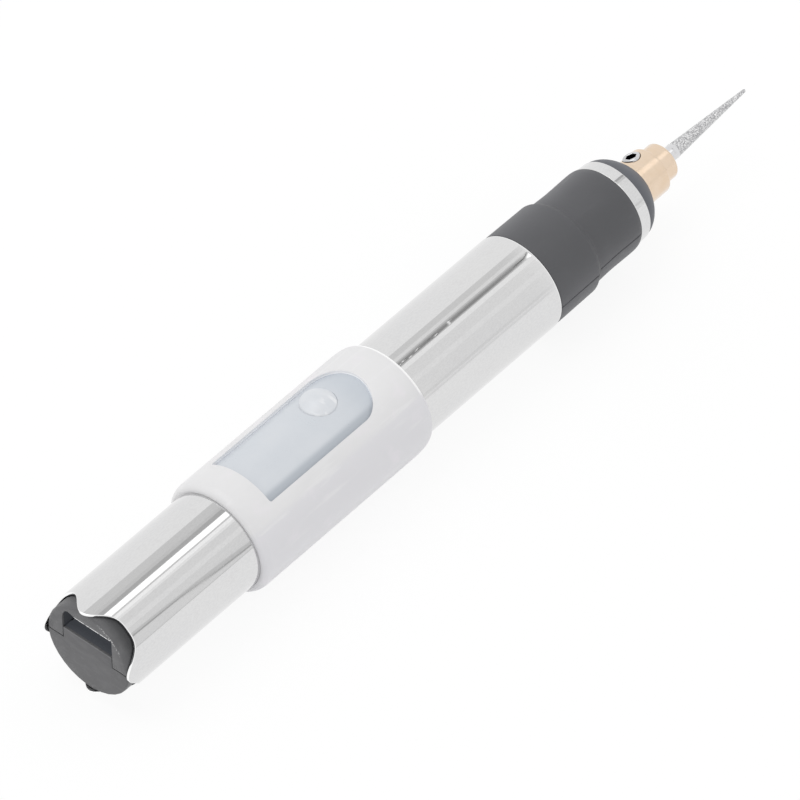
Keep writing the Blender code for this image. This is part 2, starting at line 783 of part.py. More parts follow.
def make_motor_housing():
    """The can with its front bush, two magnets, the end bell with the rear bush, and the brush terminals."""
    boss_front = motor_front + boss_length
    edge = arc(
        (motor_front - can_round, motor_radius - can_round), (can_round, can_round), 0, 90, steps=arc_steps // 2
    )
    can = [(boss_front, bush_seat), (boss_front, boss_radius), (motor_front, boss_radius)] + edge
    can += [
        (motor_rear, motor_radius), (motor_rear, can_bore), (motor_front - can_front_wall, can_bore),
        (motor_front - can_front_wall, bush_seat),
    ]
    turned("motor_can", can, dark_steel)
    bell_rear = motor_rear - seat_gap - bell_flange
    bell = [
        (bell_rear, bush_seat), (bell_rear, motor_radius), (bell_rear + bell_flange, motor_radius),
        (bell_rear + bell_flange, magnet_radius), (motor_rear + bell_spigot, magnet_radius),
        (motor_rear + bell_spigot, bush_seat),
    ]
    end_bell = turned("motor_end_bell", bell, black_moulding)
    for name, rear in (("front_bush", boss_front - bush_length), ("rear_bush", bell_rear)):
        front = rear + bush_length
        bush = [(rear, bush_bore), (rear, bush_radius), (front, bush_radius), (front, bush_bore)]
        turned(name, bush, bronze, small_sides)
    magnet_rear = motor_rear + magnet_setback
    magnet_arc = math.degrees(magnet_span) / 2
    for name, centre in (("motor_magnet_upper", 0), ("motor_magnet_lower", 180)):
        outer = arc((0, 0), (magnet_radius, magnet_radius), centre - magnet_arc, centre + magnet_arc, 2 * arc_steps)
        inner = arc((0, 0), (magnet_bore, magnet_bore), centre + magnet_arc, centre - magnet_arc, 2 * arc_steps)
        mesh = outline_mesh(name, [outer + inner], magnet_rear, magnet_rear + magnet_length)
        place(name, mesh, ferrite)
    make_terminals(end_bell, bell_rear)


def make_terminals(end_bell, bell_rear):
    """Two brush arms: each runs through the end bell and bends in to the commutator."""
    rear = bell_rear - terminal_length
    bend = motor_rear + bell_spigot + fit_gap
    tip = bend + terminal_offset - brush_reach
    outer = terminal_offset + terminal_thickness / 2
    inner = terminal_offset - terminal_thickness / 2
    arm = [
        (rear, inner), (bend, inner), (tip, brush_reach),
        (tip + terminal_thickness, brush_reach + terminal_thickness), (bend + terminal_thickness, outer),
        (rear, outer),
    ]
    half = terminal_width / 2
    for name, turn in (("motor_terminal_near", math.pi), ("motor_terminal_far", 0)):
        place(name, outline_mesh(name, [arm], -half, half, from_above), brass, rotation=(0, 0, turn))
    for name, side in (("near_brush_slot", terminal_offset), ("far_brush_slot", -terminal_offset)):
        slot = block_mesh(
            name,
            (-half - seat_gap, side - terminal_thickness / 2 - seat_gap, rear),
            (half + seat_gap, side + terminal_thickness / 2 + seat_gap, bend + overrun),
        )
        combine(end_bell, place(name, slot))


def pole_outline():
    """The armature's section: a hub with wide-shoed poles round it, as (x, y) points."""
    points = []
    shoe_bore = core_radius - pole_shoe
    half_neck_hub = math.degrees(math.asin(pole_neck / 2 / core_hub))
    half_neck_shoe = math.degrees(math.asin(pole_neck / 2 / shoe_bore))
    half_shoe = math.degrees(pole_span) / 2
    for index in range(pole_count):
        centre = index * full_turn / pole_count
        following = centre + full_turn / pole_count
        points += arc((0, 0), (shoe_bore, shoe_bore), centre - half_neck_shoe, centre - half_shoe, 2)
        points += arc((0, 0), (core_radius, core_radius), centre - half_shoe, centre + half_shoe, 2 * arc_steps)
        points += arc((0, 0), (shoe_bore, shoe_bore), centre + half_shoe, centre + half_neck_shoe, 2)
        points += arc((0, 0), (core_hub, core_hub), centre + half_neck_hub, following - half_neck_hub, arc_steps)
    return points


def make_rotor():
    """The motor's shaft, the three-pole core and its windings, and the slotted commutator."""
    shaft_rear = motor_rear - shaft_tail
    shaft = [
        (shaft_rear, 0), (shaft_rear, shaft_radius - shank_edge), (shaft_rear + shank_edge, shaft_radius),
        (shaft_end - shank_edge, shaft_radius), (shaft_end, shaft_radius - shank_edge), (shaft_end, 0),
    ]
    turned("motor_shaft", shaft, bright_steel, small_sides)
    core_rear = motor_rear + core_setback
    core_front = core_rear + core_length
    core = place("armature_core", outline_mesh("armature_core", [pole_outline()], core_rear, core_front), dark_steel)
    combine(core, rod("core_bore", bush_bore, core_rear - overrun, core_front + overrun, small_sides))
    make_windings(core_rear, core_front)
    front = core_rear - seat_gap - 2 * winding_radius - slide_gap
    rear = front - commutator_length
    ring = [(rear, bush_bore), (rear, commutator_radius), (front, commutator_radius), (front, bush_bore)]
    commutator = turned("commutator", ring, copper, small_sides)
    half = commutator_slot / 2
    for index in range(pole_count):
        name = f"commutator_slot_{index + 1}"
        slot = block_mesh(
            name, ((bush_bore + commutator_radius) / 2, -half, rear + overrun), (tube_radius, half, front + overrun)
        )
        turn = (0, 0, math.radians((index + 1 / 2) * full_turn / pole_count))
        combine(commutator, place(name, slot, rotation=turn))


def make_windings(core_rear, core_front):
    """A closed bundle of wire round each pole's neck."""
    clear = seat_gap + winding_radius
    half_width = pole_neck / 2 + clear
    middle = math.sqrt((core_radius - pole_shoe - clear) ** 2 - half_width ** 2)
    stations = (core_rear - clear, core_front + clear)
    corners = [(-half_width, station) for station in stations]
    corners += [(half_width, station) for station in reversed(stations)]
    for index in range(pole_count):
        turn = Matrix.Rotation(index * 2 * math.pi / pole_count, 3, "Z")
        points = [turn @ Vector((middle, side, station)) for side, station in corners]
        wire_curve(f"armature_winding_{index + 1}", points, winding_radius, cable_detail, copper, closed=True)


def eased(start, end, share):
    """A smooth passage between two radii."""
    return start + (end - start) * (1 - math.cos(math.pi * share)) / 2


def grip_outline():
    """The grip: a spigot in the tube, a tapered collar, a step, the waist and the flare, as (station, radius)."""
    stages = [
        (step_station + flare_place, flare_radius, step_station + waist_place, waist_radius),
        (step_station + waist_place, waist_radius, step_station + grip_step, step_radius),
        (step_station + grip_step, step_radius, step_station, collar_radius - grip_collar_taper),
    ]
    edge = arc(
        (grip_front - grip_front_run, flare_radius - grip_front_round), (grip_front_run, grip_front_round), 0, 90,
        steps=arc_steps // 2,
    )
    points = [(grip_front, motor_bore)] + edge
    for start, start_radius, end, end_radius in stages:
        for index in range(waist_steps + 1):
            share = index / waist_steps
            points.append((start + (end - start) * share, eased(start_radius, end_radius, share)))
        points.pop()
    points.append((step_station, collar_radius - grip_collar_taper))
    points += [
        (grip_shoulder + grip_rear_round, collar_radius), (grip_shoulder, collar_radius - grip_rear_round),
        (grip_shoulder, plug_radius), (grip_shoulder - spigot_length, plug_radius),
        (grip_shoulder - spigot_length, motor_bore),
    ]
    return points


def make_grip():
    """The grip's two shells, parted on the pen's two sides."""
    rear = grip_shoulder - spigot_length - overrun
    front = grip_front + overrun
    part_line = seat_gap / 2
    reach = 2 * tube_radius
    lower_half = block_mesh("lower_half", (-reach, -reach, rear), (part_line, reach, front))
    upper_half = block_mesh("upper_half", (-part_line, -reach, rear), (reach, reach, front))
    combine(turned("grip_upper_shell", grip_outline(), dark_grip), place("lower_half", lower_half))
    combine(turned("grip_lower_shell", grip_outline(), dark_grip), place("upper_half", upper_half))


def make_trim_ring():
    outline = [
        (ring_front, motor_bore), (ring_front, ring_radius - ring_taper - ring_edge),
        (ring_front - ring_edge, ring_radius - ring_taper), (ring_rear + ring_edge, ring_radius),
        (ring_rear, ring_radius - ring_edge), (ring_rear, motor_bore),
    ]
    turned("trim_ring", outline, plated)


def make_nose_cap():
    """The domed nose: its hollow clears the chuck, and its spigot holds the ring and the two shells together."""
    points = [(nose_front, nose_hole), (nose_front, nose_lip_radius)]
    steps = 2 * arc_steps
    for index in range(steps + 1):
        share = 1 - index / steps
        drop = (nose_radius - nose_lip_radius) * share ** nose_fullness
        points.append((nose_rear + nose_length * share, nose_radius - drop))
    points.pop(2)
    spigot_rear = grip_front - nose_spigot
    points += [
        (nose_rear, motor_radius), (spigot_rear, motor_radius), (spigot_rear, nose_bore),
        (nose_front - nose_length / 2, nose_bore), (nose_front - nose_land, nose_hole),
    ]
    turned("nose_cap", points, slate)


def make_chuck():
    """The stepped brass chuck: bored for the motor's shaft behind and the shank in front, and drilled across."""
    front_edge = arc(
        (chuck_front - chuck_round, collet_radius - chuck_round), (chuck_round, chuck_round), 0, 90, arc_steps // 2
    )
    step_edge = arc(
        (chuck_step - chuck_round, chuck_radius - chuck_round), (chuck_round, chuck_round), 0, 90, arc_steps // 2
    )
    outline = [(chuck_front, shank_bore)] + front_edge + [(chuck_step, collet_radius)] + step_edge
    outline += [
        (chuck_rear + chuck_chamfer, chuck_radius), (chuck_rear, chuck_radius - chuck_chamfer),
        (chuck_rear, bush_bore), (shaft_end + bore_step, bush_bore), (shaft_end + bore_step, shank_bore),
    ]
    chuck = turned("brass_chuck", outline, brass)
    hole = rod(
        "screw_hole", screw_radius + seat_gap, 0, chuck_radius + overrun, small_sides,
        location=(0, 0, screw_station), rotation=(0, math.pi / 2, -screw_turn),
    )
    combine(chuck, hole)


def make_set_screw():
    """The hex-socket screw whose tip clamps the shank."""
    tip = shank_radius + screw_tip_gap
    head = chuck_radius - screw_sink
    outline = [
        (tip, 0), (tip, screw_radius - screw_chamfer), (tip + screw_chamfer, screw_radius),
        (head - screw_chamfer, screw_radius), (head, screw_radius - screw_chamfer), (head, 0),
    ]
    turned_to = (0, math.pi / 2, -screw_turn)
    centre = (0, 0, screw_station)
    screw = turned("set_screw", outline, dark_steel, small_sides, centre, turned_to)
    hex_radius = socket_across_flats / 2 / math.cos(math.pi / 6)
    combine(screw, rod("hex_socket", hex_radius, head - socket_depth, head + overrun, 6, centre, turned_to))


def make_diamond_burr():
    """A plain shank with a long tapered head."""
    outline = [
        (shank_rear, 0), (shank_rear, shank_radius - shank_edge), (shank_rear + shank_edge, shank_radius),
        (grit_start - shank_edge, shank_radius), (grit_start, grit_radius),
        (burr_tip - grit_tip_round, grit_tip_radius), (burr_tip, grit_tip_radius / 2), (burr_tip, 0),
    ]
    turned("diamond_burr", outline, grit, slim_sides)


button_hole = rod(
    "button_hole", button_radius + slide_gap, button_base, sleeve_radius + overrun,
    location=(0, 0, button_station), rotation=upright,
)
make_barrel_tube()
make_frosted_sleeve()
make_window_panel()
make_switch()
make_tail_insert()
make_battery_drawer()
make_cells()
make_battery_spring()
make_contacts()
make_bulkhead()
make_leads()
make_motor_housing()
make_rotor()
make_grip()
make_trim_ring()
make_nose_cap()
make_chuck()
make_set_screw()
make_diamond_burr()
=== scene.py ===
import json
import math
import random

import bmesh
import bpy
from mathutils import Matrix, Vector, noise


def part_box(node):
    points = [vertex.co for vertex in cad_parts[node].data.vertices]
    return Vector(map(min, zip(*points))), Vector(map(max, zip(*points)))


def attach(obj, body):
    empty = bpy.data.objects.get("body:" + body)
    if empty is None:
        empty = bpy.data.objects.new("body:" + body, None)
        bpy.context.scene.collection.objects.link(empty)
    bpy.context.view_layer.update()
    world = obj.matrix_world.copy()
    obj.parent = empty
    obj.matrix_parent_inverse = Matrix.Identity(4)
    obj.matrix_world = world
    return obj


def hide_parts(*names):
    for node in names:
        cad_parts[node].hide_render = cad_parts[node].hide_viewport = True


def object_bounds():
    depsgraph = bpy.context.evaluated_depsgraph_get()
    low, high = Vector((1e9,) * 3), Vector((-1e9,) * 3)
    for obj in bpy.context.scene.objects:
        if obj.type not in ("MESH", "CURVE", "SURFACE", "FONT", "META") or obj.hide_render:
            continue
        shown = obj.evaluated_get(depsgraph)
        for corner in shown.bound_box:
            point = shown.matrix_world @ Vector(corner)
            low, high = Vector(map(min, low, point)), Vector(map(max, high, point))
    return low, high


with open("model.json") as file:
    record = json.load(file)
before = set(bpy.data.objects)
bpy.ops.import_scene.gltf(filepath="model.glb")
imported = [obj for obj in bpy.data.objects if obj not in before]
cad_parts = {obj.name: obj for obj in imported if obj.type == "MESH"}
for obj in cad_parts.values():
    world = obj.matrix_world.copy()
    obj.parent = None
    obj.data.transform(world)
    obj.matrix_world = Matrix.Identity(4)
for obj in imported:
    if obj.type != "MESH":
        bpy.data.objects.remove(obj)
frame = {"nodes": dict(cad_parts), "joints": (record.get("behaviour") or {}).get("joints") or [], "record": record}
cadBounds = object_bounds()
mm = 0.001

# Places that every piece is built from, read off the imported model
tubeLow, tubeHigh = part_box("barrel_tube")
axisHeight = (tubeLow.z + tubeHigh.z) / 2
tubeRadius = (tubeHigh.y - tubeLow.y) / 2
tubeFront = tubeHigh.x
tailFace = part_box("battery_drawer")[0].x
sleeveBore = tubeRadius + 0.03 * mm
plugRadius = tubeRadius - 0.65 * mm
motorRadius = 0.73 * tubeRadius
motorBore = motorRadius + 0.15 * mm
chuckRadius = 0.475 * tubeRadius


def inMm(**sizes):
    # a settings dictionary that is written in millimetres
    return {key: size * mm for key, size in sizes.items()}


# Mesh tools
def arcPoints(centre, radii, start, end, steps):
    points = []
    for step in range(steps + 1):
        angle = math.radians(start + (end - start) * step / steps)
        points.append((centre[0] + radii[0] * math.cos(angle), centre[1] + radii[1] * math.sin(angle)))
    return points


def filleted(corners, steps=4, hold=0.12 * mm):
    # corners are (along, radius, fillet); each fillet becomes an arc with a holding point on both sides
    points = []
    for index, (along, radius, fillet) in enumerate(corners):
        here = Vector((along, radius))
        if not fillet:
            points.append(tuple(here))
            continue
        before = (Vector(corners[index - 1][:2]) - here).normalized()
        after = (Vector(corners[(index + 1) % len(corners)][:2]) - here).normalized()
        half = before.angle(after) / 2
        reach = fillet / math.tan(half)
        centre = here + (before + after).normalized() * fillet / math.sin(half)
        start, end = here + before * reach - centre, here + after * reach - centre
        points.append(tuple(here + before * (reach + hold)))
        for step in range(steps + 1):
            share = step / steps
            points.append(tuple(centre + (start * (1 - share) + end * share).normalized() * fillet))
        points.append(tuple(here + after * (reach + hold)))
    return points


def spun(points, centre, axis, segments, closed=False):
    # turns a line of points once round an axis
    shape = bmesh.new()
    corners = [shape.verts.new(point) for point in points]
    for first, second in zip(corners, corners[1:]):
        shape.edges.new((first, second))
    if closed:
        shape.edges.new((corners[-1], corners[0]))
    bmesh.ops.spin(
        shape, geom=shape.verts[:] + shape.edges[:], cent=centre, axis=axis, dvec=(0, 0, 0),
        angle=2 * math.pi, steps=segments, use_merge=True,
    )
    return tidied(shape)


def turnedShape(points, segments=160, closed=True):
    # turns (along, radius) points about the pen's axis
    line = [(along, 0, axisHeight + radius) for along, radius in points]
    return spun(line, (0, 0, axisHeight), (1, 0, 0), segments, closed)


def tidied(shape):
    bmesh.ops.remove_doubles(shape, verts=shape.verts, dist=0.002 * mm)
    bmesh.ops.recalc_face_normals(shape, faces=shape.faces)
    return shape


def prismShape(outline, low, high, turn=None):
    # a flat outline of (x, y) points drawn out from low to high along z
    shape = bmesh.new()
    corners = [shape.verts.new((x, y, low)) for x, y in outline]
    bmesh.ops.contextual_create(shape, geom=corners)
    drawn = bmesh.ops.extrude_face_region(shape, geom=shape.faces[:])
    moved = [item for item in drawn["geom"] if isinstance(item, bmesh.types.BMVert)]
    bmesh.ops.translate(shape, verts=moved, vec=(0, 0, high - low))
    if turn is not None:
        bmesh.ops.transform(shape, matrix=turn, verts=shape.verts)
    return tidied(shape)


def rodShape(radius, low, high, segments, turn):
    shape = bmesh.new()
    bmesh.ops.create_cone(
        shape, cap_ends=True, segments=segments, radius1=radius, radius2=radius, depth=high - low,
        matrix=turn @ Matrix.Translation((0, 0, (low + high) / 2)),
    )
    return tidied(shape)


def meshFrom(name, shape):
    mesh = bpy.data.meshes.new(name)
    shape.to_mesh(mesh)
    shape.free()
    return mesh


def linked(name, data):
    item = bpy.data.objects.new(name, data)
    bpy.context.scene.collection.objects.link(item)
    return item


def combined(shape, tool, operation="DIFFERENCE"):
    # a boolean of two shapes, as a new shape
    first = linked("work", meshFrom("work", shape))
    second = linked("tool", meshFrom("tool", tool))
    step = first.modifiers.new("combine", "BOOLEAN")
    step.operation, step.object, step.solver = operation, second, "EXACT"
    bpy.context.view_layer.update()
    result = bmesh.new()
    result.from_mesh(first.evaluated_get(bpy.context.evaluated_depsgraph_get()).to_mesh())
    for item in (first, second):
        bpy.data.objects.remove(item, do_unlink=True)
    return tidied(result)


def edgesSofter(shape, width, above=35, segments=1, test=None):
    # bevels the sharp edges of a shape, or those of them that a test picks
    edges = []
    for edge in shape.edges:
        if len(edge.link_faces) == 2 and math.degrees(edge.calc_face_angle()) > above:
            if test is None or test((edge.verts[0].co + edge.verts[1].co) / 2):
                edges.append(edge)
    bmesh.ops.bevel(
        shape, geom=edges, offset=width, offset_type="OFFSET", affect="EDGES", segments=segments, profile=0.5,
        clamp_overlap=True, material=-1,
    )
    return shape


def piece(name, shape, body, finish, nodes=(), sharp=32):
    mesh = meshFrom(name, shape)
    mesh.shade_smooth()
    mesh.set_sharp_from_angle(angle=math.radians(sharp))
    mesh.materials.clear()
    mesh.materials.append(finish)
    item = linked(name, mesh)
    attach(item, body)
    if nodes:
        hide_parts(*nodes)
    return item


def mergedCopy(node):
    shape = bmesh.new()
    shape.from_mesh(frame["nodes"][node].data)
    bmesh.ops.remove_doubles(shape, verts=shape.verts, dist=0.002 * mm)
    bmesh.ops.dissolve_limit(shape, angle_limit=math.radians(0.5), verts=shape.verts, edges=shape.edges)
    return shape


# Shader tools
class Value:
    # a socket that can be worked with in Python expressions
    def __init__(self, tree, socket):
        self.tree, self.socket = tree, socket

    def maths(self, operation, *items):
        node = self.tree.nodes.new("ShaderNodeMath")
        node.operation = operation
        for place, item in zip(node.inputs, items):
            if isinstance(item, Value):
                self.tree.links.new(item.socket, place)
            else:
                place.default_value = item
        return Value(self.tree, node.outputs[0])

    def __add__(self, other):
        return self.maths("ADD", self, other)

    def __sub__(self, other):
        return self.maths("SUBTRACT", self, other)

    def __rsub__(self, other):
        return self.maths("SUBTRACT", other, self)

    def __mul__(self, other):
        return self.maths("MULTIPLY", self, other)

    def __pow__(self, power):
        return self.maths("POWER", self, power)

    def __abs__(self):
        return self.maths("ABSOLUTE", self)

    def between(self, low, high):
        # 0 below low, 1 above high, smooth in between
        ramp = self.tree.nodes.new("ShaderNodeMapRange")
        ramp.interpolation_type = "SMOOTHSTEP"
        ramp.inputs["From Min"].default_value = low
        ramp.inputs["From Max"].default_value = high
        self.tree.links.new(self.socket, ramp.inputs["Value"])
        return Value(self.tree, ramp.outputs[0])


class Finish:
    # a Principled material; constants are set on its own sockets
    def __init__(self, name, colour, roughness, metallic=0.0, **constants):
        self.material = bpy.data.materials.new(name)
        self.material.use_nodes = True
        self.tree = self.material.node_tree
        self.shader = self.tree.nodes["Principled BSDF"]
        settings = {"Base Color": (*colour, 1), "Roughness": roughness, "Metallic": metallic}
        settings.update({key.replace("_", " "): value for key, value in constants.items()})
        for key, value in settings.items():
            self.shader.inputs[key].default_value = value
        self.place = self.node("TexCoord", out="Object")
        self.dull = None

    def node(self, kind, settings=None, values=None, out=0):
        made = self.tree.nodes.new("ShaderNode" + kind)
        for key, value in (settings or {}).items():
            setattr(made, key, value)
        for key, value in (values or {}).items():
            if isinstance(value, Value):
                self.tree.links.new(value.socket, made.inputs[key])
            else:
                made.inputs[key].default_value = value
        return Value(self.tree, made.outputs[out])

    def split(self, vector):
        outs = self.node("SeparateXYZ", values={0: vector}).socket.node.outputs
        return [Value(self.tree, outs[index]) for index in range(3)]

    def axes(self):
        return self.split(self.place)

    def normals(self):
        return self.split(self.node("NewGeometry", out="Normal"))

    def grain(self, size, detail=3.0, stretch=None):
        # noise whose features are about size across, or stretched by three factors
        place = self.place
        if stretch:
            place = self.node("Mapping", values={0: place, 3: stretch})
        return self.node("TexNoise", values={"Vector": place, "Scale": 1 / size, "Detail": detail})

    def facing(self):
        # 0 where the surface faces the eye, 1 where it turns away
        return self.node("LayerWeight", values={"Blend": 0.5}, out="Facing")

    def blend(self, share, first, second):
        # a colour between two, each a plain colour or a socket
        values = {0: share}
        for key, colour in ((6, first), (7, second)):
            values[key] = colour if isinstance(colour, Value) else (*colour, 1)
        return self.node("Mix", {"data_type": "RGBA"}, values, out=2)

    def set(self, key, value):
        self.tree.links.new(value.socket, self.shader.inputs[key])

    def bump(self, height, distance, strength=1.0):
        self.set("Normal", self.node("Bump", values={"Strength": strength, "Distance": distance, "Height": height}))


def plated(name, paintedRimHighlight):
    finish = Finish(name, (0.70, 0.70, 0.70), 0.07, 1.0)
    smear = finish.grain(9 * mm, 4, (0.4, 1, 1))
    hairs = finish.grain(0.5 * mm, 2, (0.05, 1, 1))
    specks = finish.grain(0.35 * mm, 1).between(0.72, 0.8)
    blotch = finish.grain(2.2 * mm, 4, (0.7, 1, 1))
    paint = finish.blend(smear.between(0.3, 0.8), (0.695, 0.695, 0.70), (0.725, 0.722, 0.72))
    paint = finish.blend(blotch.between(0.55, 0.75) * 0.4, paint, (0.665, 0.655, 0.66))
    fine = finish.grain(0.32 * mm, 2, (0.6, 1, 1))
    paint = finish.blend(fine.between(0.35, 0.65) * 0.5, paint, (0.755, 0.755, 0.755))
    if paintedRimHighlight:
        # painted highlight: surfaces facing along the axis, such as the rim, are painted near-white
        rim = abs(finish.normals()[0]).between(0.12, 0.3)
        paint = finish.blend(rim, paint, (0.98, 0.98, 0.98))
    finish.set("Base Color", paint)
    finish.set("Roughness", smear * 0.05 + hairs * 0.03 + specks * 0.08 + 0.01)
    finish.bump(hairs * 0.4 + smear * 0.6, 0.004 * mm, 0.6)
    return finish.material


frost = {
    "lowerAcross": -0.63, "lowerUp": 0.777, "lowerSoft": 0.9 * mm, "lip": (0.7 * mm, 0.4 * mm),
    "wallSide": (1 * mm, 3 * mm), "wallFront": (7 * mm, 6 * mm), "foot": (0.8 * mm, 0.25 * mm),
    "leastGlow": 0.13, "glow": (0.29, 0.295, 0.305),
}


def frosted():
    finish = Finish(
        "frostedPlastic", (0.8, 0.8, 0.81), 0.42, Coat_Weight=0.15, Coat_Roughness=0.3, Emission_Strength=1.0
    )
    along, across, up = finish.axes()
    lift = up - axisHeight
    front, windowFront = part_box("frosted_sleeve")[1].x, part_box("window_panel")[1].x
    cloud = finish.grain(14 * mm, 4, (0.5, 1, 1))
    tooth = finish.grain(0.16 * mm, 3)
    # painted shade: its near lower side is darker and colder, with a soft step between
    lower = across * frost["lowerAcross"] - lift * frost["lowerUp"]
    lower = lower.between(-frost["lowerSoft"], frost["lowerSoft"])
    paint = finish.blend(cloud.between(0.3, 0.7), (0.728, 0.726, 0.735), (0.775, 0.771, 0.777))
    paint = finish.blend(lower * 0.9, paint, (0.72, 0.716, 0.742))
    streak = finish.grain(1.6 * mm, 4, (0.12, 1, 1)).between(0.55, 0.75)
    paint = finish.blend(streak * 0.45, paint, (0.83, 0.83, 0.835))
    tint = finish.grain(5 * mm, 3).between(0.55, 0.75)
    paint = finish.blend(tint * 0.35, paint, (0.84, 0.79, 0.845))
    # painted highlight: the thin lip at the front end is painted near-white, as if light gathers in it
    lip = along.between(front - frost["lip"][0], front - frost["lip"][1])
    paint = finish.blend(lip * (1 - lower), paint, (0.97, 0.97, 0.97))
    # painted light: the window's walls are painted lighter and given a faint glow, for the light that comes through
    # them
    towardsTail, towardsNear, _ = finish.normals()
    atFront = along.between(windowFront - frost["wallFront"][0], front - frost["wallFront"][1])
    wall = towardsNear * -1 * across.between(*frost["wallSide"]) + towardsTail * -1 * atFront
    wall = wall.between(0.35, 0.8)
    finish.set("Base Color", finish.blend(wall, paint, (0.88, 0.88, 0.89)))
    reach = (across * across + lift * lift) ** 0.5
    foot = 1 - reach.between(axisHeight - frost["foot"][0], axisHeight - frost["foot"][1])
    glow = wall * (foot * (1 - frost["leastGlow"]) + frost["leastGlow"])
    finish.set("Emission Color", finish.blend(glow, (0, 0, 0), frost["glow"]))
    finish.set("Roughness", cloud * 0.12 + tooth * 0.12 + 0.3)
    finish.bump(tooth, 0.012 * mm, 0.15)
    return finish.material


def smokedWithShade(low, high):
    # painted shade: the panel darkens towards the window's walls, most at its near edge and its round end
    finish = Finish("smokedPanelShaded", (0.6, 0.65, 0.72), 0.3, Coat_Weight=0.3, Coat_Roughness=0.15)
    along, across, up = finish.axes()
    cloud = finish.grain(7 * mm, 3)
    tooth = finish.grain(0.2 * mm, 2)
    near = (across * -1).between(high.y - 2 * mm, high.y - 0.9 * mm)
    far = across.between(high.y - 5 * mm, high.y - 1 * mm)
    nose = along.between(high.x - 9 * mm, high.x - 1 * mm)
    paint = finish.blend(cloud.between(0.3, 0.8), (0.615, 0.645, 0.685), (0.645, 0.67, 0.705))
    paint = finish.blend(nose * 0.6, paint, (0.50, 0.545, 0.60))
    paint = finish.blend(far * 0.2, paint, (0.50, 0.545, 0.60))
    paint = finish.blend(near * 0.95, paint, (0.445, 0.48, 0.525))
    finish.set("Base Color", paint)
    finish.set("Roughness", cloud * 0.1 + tooth * 0.1 + 0.2)
    finish.bump(tooth, 0.008 * mm, 0.4)
    return finish.material


def moulding(name, colour, lift, roughness, texture, depth, turnedAwaySheen=0.6, detail=None):
    # moulded plastic: a fine even texture, faint flow marks, and scuffs that catch more light
    finish = Finish(name, colour, roughness, Specular_IOR_Level=0.5)
    texel = finish.grain(texture, 2)
    pits = finish.node(
        "TexVoronoi", {"feature": "F1"}, {"Vector": finish.place, "Scale": 0.8 / texture}, out="Distance"
    )
    flow = finish.grain(8 * mm, 3, (0.5, 1, 1))
    scuff = finish.grain(1.2 * mm, 5, (0.25, 1, 1)).between(0.62, 0.75)
    bright = tuple(part * lift for part in colour)
    paint = finish.blend(flow.between(0.3, 0.75) * 0.6 + scuff * 0.25, colour, bright)
    # painted sheen: the colour is lightened where the surface turns away from the eye
    level = 1 - abs(finish.normals()[0]).between(0.08, 0.3)
    turnedAwaySheen = finish.facing().between(0.2, 0.75) * level * turnedAwaySheen
    paint = finish.blend(turnedAwaySheen, paint, tuple(part * 1.8 for part in colour))
    if detail:
        paint = detail(finish, paint)
    finish.set("Base Color", paint)
    rough = flow * 0.12 + texel * 0.1 - scuff * 0.1 + (roughness - 0.1)
    finish.set("Roughness", rough + finish.dull if finish.dull else rough)
    finish.bump(texel * 0.6 + pits * 0.5, depth, 0.7)
    return finish.material


def turnedMetal(name, colour, second, roughness, line=0.09 * mm, depth=0.004 * mm, detail=None):
    # lathe marks run round the pen's axis
    finish = Finish(name, colour, roughness, 1.0)
    rings = finish.grain(line, 2, (1, 0.02, 0.02))
    # painted highlight: the colour turns paler where the surface turns away from the eye
    edge = finish.facing().between(0.55, 0.9)
    tarnish = finish.grain(2.6 * mm, 4)
    specks = finish.grain(0.3 * mm, 1).between(0.7, 0.78)
    paint = finish.blend(tarnish.between(0.35, 0.8) * 0.7 + specks * 0.2, colour, second)
    paint = finish.blend(edge * 0.7, paint, tuple(0.45 + 0.5 * part for part in colour))
    finish.set("Base Color", detail(finish, paint) if detail else paint)
    finish.set("Roughness", rings * 0.1 + tarnish * 0.08 + (roughness - 0.1))
    finish.bump(rings, depth, 0.35)
    return finish.material


def plainFinish(name, colour, second, roughness, metallic=0.0, size=1.5 * mm, depth=0.004 * mm):
    finish = Finish(name, colour, roughness, metallic)
    patch = finish.grain(size, 4)
    fine = finish.grain(size / 8, 2)
    finish.set("Base Color", finish.blend(patch.between(0.3, 0.75), colour, second))
    finish.set("Roughness", patch * 0.14 + fine * 0.08 + (roughness - 0.1))
    finish.bump(fine, depth, 0.5)
    return finish.material


platedFinish = plated("brightPlate", True)
ringFinish = plated("ringPlate", False)
frostedFinish = frosted()
gripFinish = moulding("gripMoulding", (0.072, 0.073, 0.079), 1.25, 0.5, 0.22 * mm, 0.02 * mm)
noseFinish = moulding("noseMoulding", (0.098, 0.103, 0.118), 1.2, 0.5, 0.35 * mm, 0.008 * mm, 0.0)


# in millimetres: where each painted shade or highlight, line or wall of the plug's end starts and is full
plugLook = {
    "edgeDepth": (0.1, 2.6), "edgeReach": (8.5, 8.9), "above": (0.6, 1.2), "lightLineReach": 8.7, "lightLine": (0.12, 0.3),
    "fleckSide": (2.2, 3.4), "fleckEnd": (7.0, 7.8), "face": (0.15, 0.3), "roofLift": 6.5, "roof": (0.07, 0.14),
    "roofSide": (-3.2, -2.6), "roofEnd": (5.3, 5.6), "tabLift": 2.1, "tab": (0.05, 0.2), "tabSide": (5.2, 5.6),
    "pocketDepth": (0.35, 0.6), "pocketFloor": (1.9, 2.1), "pocketRoof": (6.4, 6.6), "pocketSide": (6.0, 6.3),
    "farWall": (5.35, 5.5),
}


